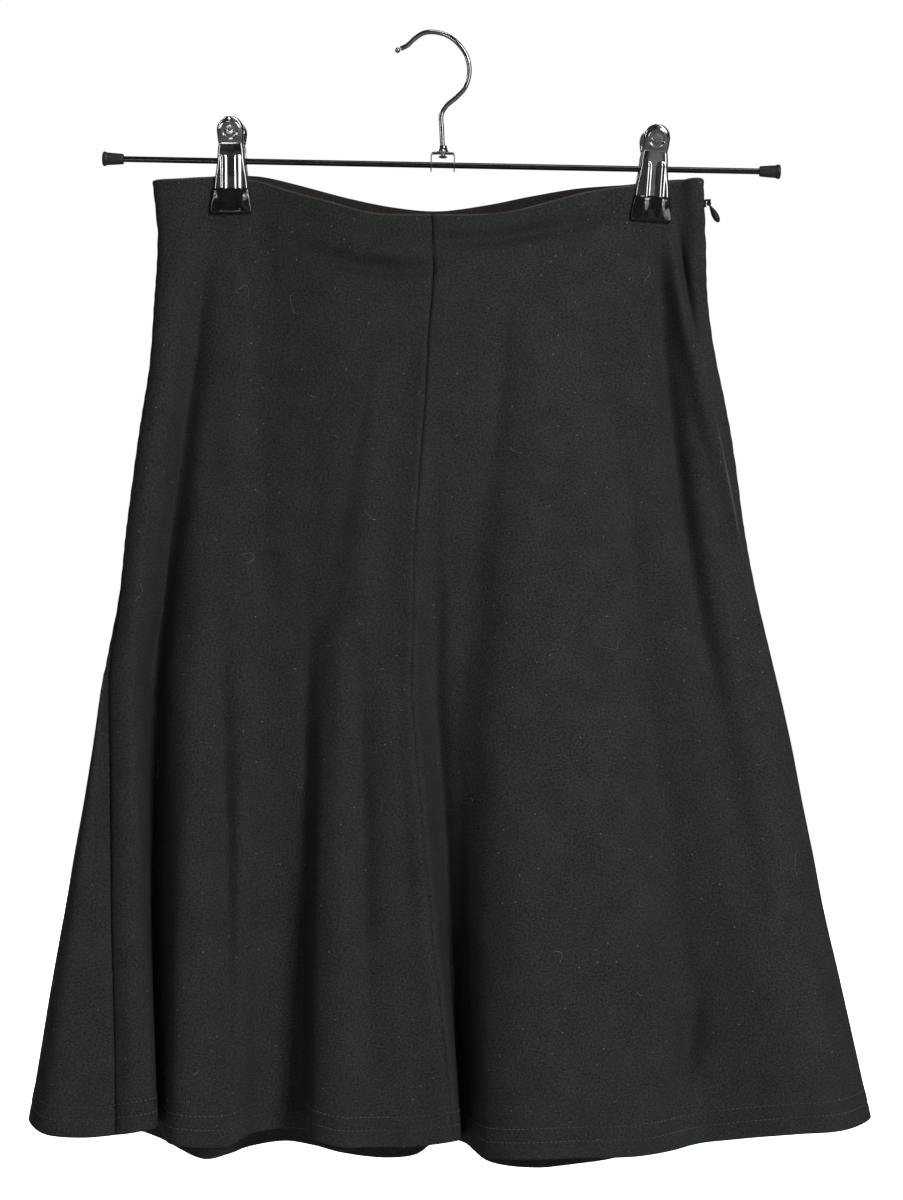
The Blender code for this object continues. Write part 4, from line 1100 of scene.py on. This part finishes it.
def make_gores(looks):
    """Four gores of knit: replaces the model's gores, and returns what lies on them needs."""
    down = row_shares()
    ring = skirt_surface(down, np.linspace(0, 1, COLUMNS + 1))
    normals = ring_normals(ring)
    zip_gap = np.interp(down, *np.array(ZIP_OPENING).T)
    gores = []
    for number, (name, *cut) in enumerate(GORES):
        columns = np.arange(number * COLUMNS, (number + 1) * COLUMNS + 1) % ring.shape[1]
        middle = seam_edged(ring[:, columns], zip_gap * (name == "back_right"),
                            zip_gap * (name == "front_right"))
        ends = [np.repeat(normals[:, columns[k]][:, None], len(EDGE_STEPS), axis=1) for k in (0, -1)]
        normal = np.concatenate([ends[0], normals[:, columns[2:-2]], ends[1]], axis=1)
        distances = edge_distances(middle)
        seam = np.minimum(distances[2], distances[3])
        middle = middle - normal * (SEAM_DEPTH * bell(seam, SEAM_WIDTH))[..., None]
        rounded = edge_rounding(distances, EDGE_ROUNDING)
        turn_up = HEM_TURN_UP * (1 - ease(HEM_DEPTH - 0.5, HEM_DEPTH + 1.0, distances[1]))
        outer = rounded * (HALF_WALL + gore_relief(distances, middle))
        inner = rounded * (HALF_WALL + turn_up)
        width = distances[2] + distances[3]
        uv = np.stack([distances[2] - width / 2, -distances[0]], axis=2) * MM
        cloth = leaf_object(name + "_cloth", middle, normal, outer, inner, looks["knit"], uv=uv,
                            instead_of=name)
        gores.append({
            "name": name,
            "cut": cut,
            "cloth": cloth,
            "down": down,
            "middle": middle,
            "normal": normal,
            "face": middle + normal * outer[..., None],
            "width": distances[2][-1, -1],
            "length": distances[0][-1].mean(),
        })
    return gores


def make_facings(looks, gores):
    """Two strips of knit inside the waist edge, which end before the zip's seam."""
    inset = len(EDGE_STEPS)
    rows = gores[0]["down"] <= FACING_SHARE
    for name, pair, clear in (("front", gores[:2], slice(0, -FACING_CLEAR)),
                              ("back", gores[2:], slice(FACING_CLEAR, None))):
        middle, normal = [
            np.concatenate([pair[0][key][rows][:, :-inset], pair[1][key][rows][:, inset:]], axis=1)
            for key in ("middle", "normal")]
        middle = (middle - normal * FACING_OFFSET)[:, clear]
        strip = strip_object("facing_" + name, middle, normal[:, clear], EDGE_ROUNDING,
                             FACING_HALF_WALL, looks["facing"], instead_of="waist_facing_" + name)


def line_on(gore, share):
    """Points and normals of the row on a gore's face at a share of its length."""
    place = np.interp(share, gore["down"], np.arange(len(gore["down"])))
    k = min(int(place), len(gore["down"]) - 2)
    mix = place - k
    line, normal = [gore[key][k] * (1 - mix) + gore[key][k + 1] * mix for key in ("face", "normal")]
    return line, unit(normal)


def make_hem_stitching(looks, gores):
    """Two rows of stitches round the hem: beads at even steps along lines on the cloth's face."""
    for gore in gores:
        rows = [even_places(*line_on(gore, 1 - row / gore["length"]), HEM_STITCH_PITCH)
                for row in HEM_STITCH_ROWS]
        places, ups, headings = [np.concatenate(parts) for parts in zip(*rows)]
        stitches = stamped(gore["name"] + "_hem_stitches", bead(*HEM_STITCH),
                           places + ups * HEM_STITCH_LIFT, headings, ups, looks["thread"])


def on_cloth(gore, across, down, lift):
    """Points over a gore's face at shares of its columns and rows, by bilinear interpolation."""
    rows, columns = gore["face"].shape[:2]
    r = np.clip(down, 0, 1) * (rows - 1.001)
    c = np.clip(across, 0, 1) * (columns - 1.001)
    i, j = r.astype(int), c.astype(int)
    fr, fc = (r - i)[:, None], (c - j)[:, None]
    value = 0
    for grid, size in ((gore["face"], 1.0), (gore["normal"], lift)):
        upper = grid[i, j] * (1 - fc) + grid[i, j + 1] * fc
        lower = grid[i + 1, j] * (1 - fc) + grid[i + 1, j + 1] * fc
        value = value + (upper * (1 - fr) + lower * fr) * size
    return value


def hair_path(gore, across, down, length, heading, curl):
    """A curly hair lying on the cloth: its heading turns steadily, and its ends stand off a little."""
    s = np.linspace(-0.5, 0.5, HAIR_POINTS)
    turn = np.radians(heading) + curl * s + 0.5 * np.sin(s * 7)
    x = np.cumsum(np.cos(turn)) * length / (HAIR_POINTS - 1)
    y = np.cumsum(np.sin(turn)) * length / (HAIR_POINTS - 1)
    wide = gore["width"] * (0.45 + 0.55 * down)
    lift = 0.25 + 0.9 * np.abs(s) ** 2
    return on_cloth(gore, across + (x - x.mean()) / wide, down + (y - y.mean()) / gore["length"],
                    lift[:, None])


def make_lint(looks, gores):
    """Hairs placed one by one, short fibres strewn over the knit, and loose thread ends at the hem."""
    hairs = [tube(hair_path(gores[row[0]], *row[1:]), HAIR_RADIUS, 5) for row in HAIRS]
    grids_object("pale_hairs", hairs, looks["lint"])
    draw = np.random.default_rng(LINT_SEED)
    fibres = []
    for _ in range(LINT_COUNT):
        gore = gores[draw.integers(0, 4)]
        across, down = draw.uniform(0.04, 0.96), draw.uniform(0.05, 0.97)
        path = hair_path(gore, across, down, draw.uniform(1.5, 4.0), draw.uniform(0, 360),
                         draw.uniform(-2.5, 2.5))
        fibres.append(tube(path[::2], HAIR_RADIUS, 4))
    grids_object("lint", fibres, looks["lint"])
    ends = []
    s = np.linspace(0, 1, 10)
    for gore, across, length, lean in THREAD_ENDS:
        start = on_cloth(gores[gore], np.array([across]), np.array([THREAD_END_PLACE]), 0.4)[0]
        path = start + np.stack([lean * s ** 2 + np.sin(5 * s), -0.4 * np.sin(3 * s),
                                 -length * s + 1.5 * s ** 2], axis=1)
        ends.append(tube(path, THREAD_END_RADIUS, 5))
    grids_object("loose_thread_ends", ends, looks["lint"])


# Zip parts

def make_zip(looks, gores):
    """Tapes inside the right seam, the coil between them, and the tab on the slider."""
    front, back = gores[1:3]
    for name, gore, columns in (("front", front, slice(-TAPE_COLUMNS, None)),
                                ("back", back, slice(0, TAPE_COLUMNS))):
        middle, normal = [gore[key][gore["down"] <= TAPE_SHARE][:, columns]
                          for key in ("middle", "normal")]
        middle = middle - normal * TAPE_OFFSET
        if gore is front:
            lap = np.linspace(0, TAPE_LAP, 5)[:, None]
            middle[:, -5:] += unit(middle[:, -1:] - middle[:, -6:-5]) * lap
        strip_object("zip_tape_" + name, middle, normal, TAPE_ROUNDING, TAPE_HALF_WALL, looks["knit"])
    line = (front["middle"][:, -1] + back["middle"][:, 0]) / 2
    normal = unit(front["normal"][:, -1] + back["normal"][:, 0])
    line = (line - normal * COIL_OFFSET)[front["down"] <= COIL_SHARE]
    places, ups, headings = even_places(line, normal[:len(line)], COIL_PITCH)
    across = np.cross(unit(headings), ups)
    stamped("zip_coil", bead(*COIL_TOOTH), places, across, ups, looks["coil"])
    hang = placement(ZIP_PIN, (0.0, -TAB_REST, 0.0))
    rows, columns = TAB_GRID
    fine = np.linspace(TAB_SECTIONS[0][0], TAB_SECTIONS[-1][0], rows)
    thick, half = [column[:, None] for column in smooth_columns(TAB_SECTIONS, fine)]
    angle = turn_angles(columns)
    drop = np.stack([thick * np.cos(angle), half * np.sin(angle),
                     np.broadcast_to(-fine[:, None], TAB_GRID)], axis=2)
    turn = np.arange(25) / 24 * TAU
    ring = np.stack([TAB_EYE * np.cos(turn), np.zeros(25), TAB_EYE * np.sin(turn)], axis=1)
    eye = tube(ring, TAB_EYE_WIRE, 12)
    grids_object("pull_tab", [moved(drop, hang), moved(eye, hang)], looks["zip_metal"],
                 body=TAB_BODY, instead_of="zip_pull_tab")


# Hanger parts

def on_rod(*place):
    """Matrix of a place on the rod, from its middle and turned by its dip."""
    return placement(ROD_CENTRE, (0.0, ROD_DIP, 0.0)) @ placement(*place)


def under_wire():
    """Matrix of the place on the rod below the foot of the wire."""
    return on_rod((HOOK[1][0] - ROD_CENTRE[0], 0, 0))


def make_rod(looks):
    """The rod with its chamfered ends, and a flared rubber cap on each."""
    profile = ((1.5, ROD_END), (ROD_RADIUS, ROD_END - ROD_CHAMFER),
               (ROD_RADIUS, -ROD_END + ROD_CHAMFER), (1.5, -ROD_END))
    lie = on_rod((0, 0, 0)) @ Matrix.Rotation(math.pi / 2, 4, "Y")
    turned_object("rod", profile, 32, lie, looks["dark_chrome"], sharp=35,
                  instead_of="hanger_rod")
    for side, lean in (("left", -1), ("right", 1)):
        end = on_rod((lean * (ROD_END + PLAY), 0, 0), (0.0, lean * math.pi / 2, 0.0))
        turned_object("cap_" + side, CAP_PROFILE, 40, end, looks["rod_cap"],
                      instead_of="rod_cap_" + side)


def make_hook(looks):
    """The bent wire, its ball tip, and the collar and rivet that hold it in the bracket."""
    line = smooth_curve(np.array(HOOK), 10, closed=False)
    path = np.stack([line[:, 0], np.zeros(len(line)), line[:, 1]], axis=1)
    grids_object("hook_wire", [tube(path, HOOK_WIRE_RADIUS, 24)], looks["chrome"], sharp=60,
                 instead_of="hanger_hook")
    reach = unit(path[-1] - path[-2])
    angle = np.linspace(0.08, math.pi - 0.04, 20)
    ball = np.stack([np.sin(angle), np.cos(angle)], axis=1) * HOOK_BALL_RADIUS
    centre = path[-1] + reach * (HOOK_BALL_RADIUS + PLAY)
    turn = Vector(reach).to_track_quat("-Z", "Y").to_matrix().to_4x4()
    turned_object("hook_tip", ball, 28, Matrix.Translation(Vector(centre)) @ turn, looks["chrome"],
                  instead_of="hook_ball")
    for name, profile, sides, height, capped, node_name in (
            ("collar", COLLAR_PROFILE, 32, BRACKET_TOP + PLAY, False, "hook_collar"),
            ("rivet", RIVET_PROFILE, 28, HOOK[0][1] - ROD_CENTRE[2] - PLAY, True, "hook_rivet")):
        turned_object(name, np.array(profile) + (0.0, height), sides, under_wire(),
                      looks["chrome"], capped=capped, sharp=50, instead_of=node_name)


def make_bracket(looks):
    """A bent strip that stands over the rod: a path up, across and down, as deep as the strip."""
    bend = BRACKET_BEND
    half = BRACKET_WIDTH / 2 - BRACKET_HALF_SHEET
    top = BRACKET_TOP - BRACKET_HALF_SHEET
    turn = np.linspace(0, math.pi / 2, 9)
    corner = np.stack([half - bend + bend * np.cos(turn), top - bend + bend * np.sin(turn)], axis=1)
    leg = np.stack([np.full(14, half), np.linspace(BRACKET_FOOT, top - bend - 0.3, 14)], axis=1)
    side = np.concatenate([leg, corner])
    path = np.concatenate([side, side[::-1] * (-1, 1)])
    deep = np.sin(np.linspace(-0.5, 0.5, BRACKET_COLUMNS) * np.pi) * BRACKET_DEPTH / 2
    taper = 1 - BRACKET_TAPER * ease(1.0, -3.0, path[:, 1])
    y = deep[None, :] * taper[:, None]
    middle = np.stack([np.broadcast_to(path[:, 0:1], y.shape), y,
                       np.broadcast_to(path[:, 1:2], y.shape)], axis=2)
    pressed_object("bracket", middle, under_wire(), BRACKET_HALF_SHEET, looks["chrome"],
                   instead_of="hanger_bracket")


def clip_sheet(face):
    """Middle surface of half a clip, front -1 or back +1.

    Across, the sheet is flat, turns back round a corner and ends in a short flange. Its
    sections follow the table. Two ribs run down the body, a round dish is pressed into the
    ear, and the ear stands off from a crisp bend. The back half's columns run the other way,
    so that its faces point outwards too.
    """
    sections = np.array(CLIP_SECTIONS)[::-1]
    rows, columns = CLIP_GRID
    share = np.sin(np.linspace(-0.5, 0.5, rows) * np.pi) * 0.5 + 0.5
    height = sections[-1, 0] + (sections[0, 0] - sections[-1, 0]) * share
    straight_lines = [np.interp(height, sections[:, 0], column) for column in sections[:, 1:].T]
    half, out, back = [((a + b) / 2)[:, None]
                       for a, b in zip(straight_lines, smooth_columns(sections, height))]
    corner = np.minimum(CLIP_CORNER, half * 0.6)
    swing = np.arccos(1 - np.minimum(back / corner, 1))
    straight = half - corner
    reach = straight + corner * swing + np.maximum(back - corner, 0)
    w = np.sin(np.linspace(-0.5, 0.5, columns) * np.pi)
    s = np.abs(w) * reach
    angle = np.clip((s - straight) / corner, 0, swing)
    rest = np.maximum(s - straight - corner * swing, 0)
    x = np.sign(w) * (np.minimum(s, straight) + corner * np.sin(angle))
    inwards = corner * (1 - np.cos(angle)) + rest
    z = np.broadcast_to(height[:, None], x.shape)
    least, more = CLIP_CROWN
    crown = (least + more * ease(*CLIP_EAR_BEND, z)) * (1 - np.clip(x / half, -1, 1) ** 2)
    away = np.hypot(x, z - CLIP_DISH_HEIGHT)
    dish = -CLIP_DISH_DEPTH * (1 - ease(CLIP_DISH_RADIUS - 1.2, CLIP_DISH_RADIUS, away))
    rim = CLIP_RIM_HEIGHT * bell(away - CLIP_DISH_RADIUS - 0.35, 0.5)
    arc = bell(np.hypot(x, z - CLIP_DISH_HEIGHT - 1.0) - CLIP_ARC_RADIUS, 0.45)
    arc = CLIP_ARC_HEIGHT * arc * (z < CLIP_DISH_HEIGHT)
    rib = bell(np.abs(x) - CLIP_RIB_PLACE, CLIP_RIB_WIDTH) * CLIP_RIB_HEIGHT
    rib = rib * (1 - ease(CLIP_RIB_TOP - 0.8, CLIP_RIB_TOP + 0.8, z))
    knob = bell(np.hypot(np.abs(x) - CLIP_RIB_PLACE, z - CLIP_RIB_TOP), 0.9) * CLIP_KNOB_HEIGHT
    y = face * (out - CLIP_HALF_SHEET - inwards + crown + dish + rim + arc + rib + knob)
    return np.stack([x, y, z], axis=2)[:, ::-face]


def clip_grip(face):
    """Rings of a dipped tip: superellipses between its inner and outer face, with soft ends."""
    sections = TIP_SECTIONS[::-1]
    rows, columns = TIP_GRID
    height = np.linspace(sections[-1][0], sections[0][0], rows)[:, None]
    half, outer = smooth_columns(sections, height)
    foot = np.sqrt(1 - np.clip((sections[0][0] + 1.2 - height) / 1.25, 0, 1) ** 2)
    angle = turn_angles(columns)
    waves = (np.cos(angle), np.sin(angle))
    c, s = [np.sign(wave) * np.abs(wave) ** (2 / TIP_ROUNDING) for wave in waves]
    x = half * c
    y = (outer + TIP_INNER) / 2 + (outer - TIP_INNER) / 2 * (0.35 + 0.65 * foot) * s
    over_ribs = bell(np.abs(x) - 1.3 * CLIP_RIB_PLACE, 2.4 * CLIP_RIB_WIDTH) * ease(0.1, 0.9, s)
    least, more, middle, spread = TIP_LOBE
    y = y + over_ribs * (least + more * bell(height - middle, spread))
    depth, pitch = TIP_SCALLOP
    z = height + depth * np.cos(x * TAU / pitch) * ease(-18.5, -16.8, height)
    return np.stack([x, face * y, z], axis=2)[:, ::-face]


def make_clips(looks):
    """Both clips: four pressed halves with dipped tips, and a coil spring round the rod in each."""
    turns = np.linspace(0, SPRING_TURNS * TAU, SPRING_TURNS * 20 + 1)
    spring = tube(np.stack([np.linspace(-0.5, 0.5, len(turns)) * SPRING_LENGTH,
                            SPRING_RADIUS * np.cos(turns), SPRING_RADIUS * np.sin(turns)], axis=1),
                  SPRING_WIRE, 8)
    for side, along, turn, lean in CLIPS:
        carrier = on_rod((along, 0, 0), (0.0, lean, turn))
        for half, face in (("front", -1), ("back", 1)):
            name = "clip_" + side + "_" + half
            pressed_object(name + "_sheet", clip_sheet(face), carrier, CLIP_HALF_SHEET,
                           looks["chrome"], instead_of=name)
            grids_object(name + "_grip", [moved(clip_grip(face), carrier)], looks["clip_dip"],
                         sharp=50, instead_of=name + "_tip")
        grids_object("clip_" + side + "_coil", [moved(spring, on_rod((along, 0, 0)))],
                     looks["dark_chrome"], instead_of="clip_" + side + "_spring")


# Studio

def make_camera():
    """A long lens straight in front, at half the skirt's height."""
    data = bpy.data.cameras.new("camera")
    data.lens = CAMERA_LENS
    data.sensor_width = SENSOR
    data.dof.use_dof = False
    made = bpy.data.objects.new("camera", data)
    bpy.context.scene.collection.objects.link(made)
    made.location = (CAMERA_ACROSS, -CAMERA_DISTANCE, CAMERA_HEIGHT)
    made.rotation_euler = (math.pi / 2, 0.0, 0.0)
    bpy.context.scene.camera = made


def softbox(name, place, size, power, mirrored_only):
    """A rectangular studio light that faces the skirt; some only show as reflections in metal."""
    data = bpy.data.lights.new(name, "AREA")
    data.shape = "RECTANGLE"
    data.size, data.size_y = size
    data.energy = power
    made = bpy.data.objects.new(name, data)
    made.visible_camera = False
    made.visible_diffuse = not mirrored_only
    made.visible_glossy = mirrored_only
    bpy.context.scene.collection.objects.link(made)
    made.location = place
    aim = Vector(LIGHT_AIM) - Vector(place)
    made.rotation_euler = aim.to_track_quat("-Z", "Y").to_euler()


def make_studio():
    """Pale floor, white surroundings and soft lights."""
    scene = bpy.context.scene
    scene.view_settings.view_transform = "Standard"
    world = bpy.data.worlds.new("studio")
    world.use_nodes = True
    scene.world = world
    tree = world.node_tree
    ray = node(tree, "LightPath").outputs
    way = apart(tree, node(tree, "TexCoord").outputs["Generated"])
    behind = arithmetic(tree, "MULTIPLY_ADD", way["Y"], 0.5, 0.5)
    room = ramp(tree, behind, (0.0, (0.050, 0.046, 0.044)), (0.80, (0.03, 0.028, 0.028)),
                (0.97, (0.30, 0.30, 0.30)))
    dim = mixed(tree, ray["Is Glossy Ray"], ROOM_LIGHT, room)
    fed(tree, tree.nodes["Background"], Color=mixed(tree, ray["Is Camera Ray"], dim, (1.0, 1.0, 1.0)))

    finish, tree, shader = blank("pale_floor", Roughness=0.8)
    paint = noise(tree, on_object(tree), 3.0, 3.0)
    pale = ramp(tree, paint, (0.3, (0.80, 0.80, 0.80)), (0.7, (0.84, 0.84, 0.84)))
    ray = node(tree, "LightPath").outputs
    fed(tree, shader, Base_Color=mixed(tree, ray["Is Glossy Ray"], pale, (0.10, 0.10, 0.10)))
    lit = arithmetic(tree, "MULTIPLY", ray["Is Camera Ray"], 0.95)
    glow = node(tree, "Emission", Strength=lit)
    total = tree.nodes.new("ShaderNodeAddShader")
    for socket, part in zip(total.inputs, (shader, glow)):
        feed(tree, socket, part.outputs[0])
    fed(tree, tree.nodes["Material Output"], Surface=total.outputs["Shader"])
    turn = turn_angles(FLOOR_CORNERS)
    rim = np.stack([np.cos(turn), np.sin(turn), np.zeros(FLOOR_CORNERS)], axis=1) * FLOOR_RADIUS
    mesh = bpy.data.meshes.new("floor")
    mesh.from_pydata(rim + np.array([0, 0, FLOOR_HEIGHT]), [], [list(range(FLOOR_CORNERS))])
    mesh.materials.append(finish)
    floor = bpy.data.objects.new("floor", mesh)
    scene.collection.objects.link(floor)

    for row in SOFTBOXES:
        softbox(*row)


def main():
    """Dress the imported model."""
    make_camera()
    make_studio()
    looks = make_looks()
    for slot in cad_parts["zip_slider"].material_slots:
        slot.material = looks["zip_metal"][0]
    make_rod(looks)
    make_hook(looks)
    make_bracket(looks)
    make_clips(looks)
    gores = make_gores(looks)
    make_facings(looks, gores)
    make_hem_stitching(looks, gores)
    make_zip(looks, gores)
    make_lint(looks, gores)


main()
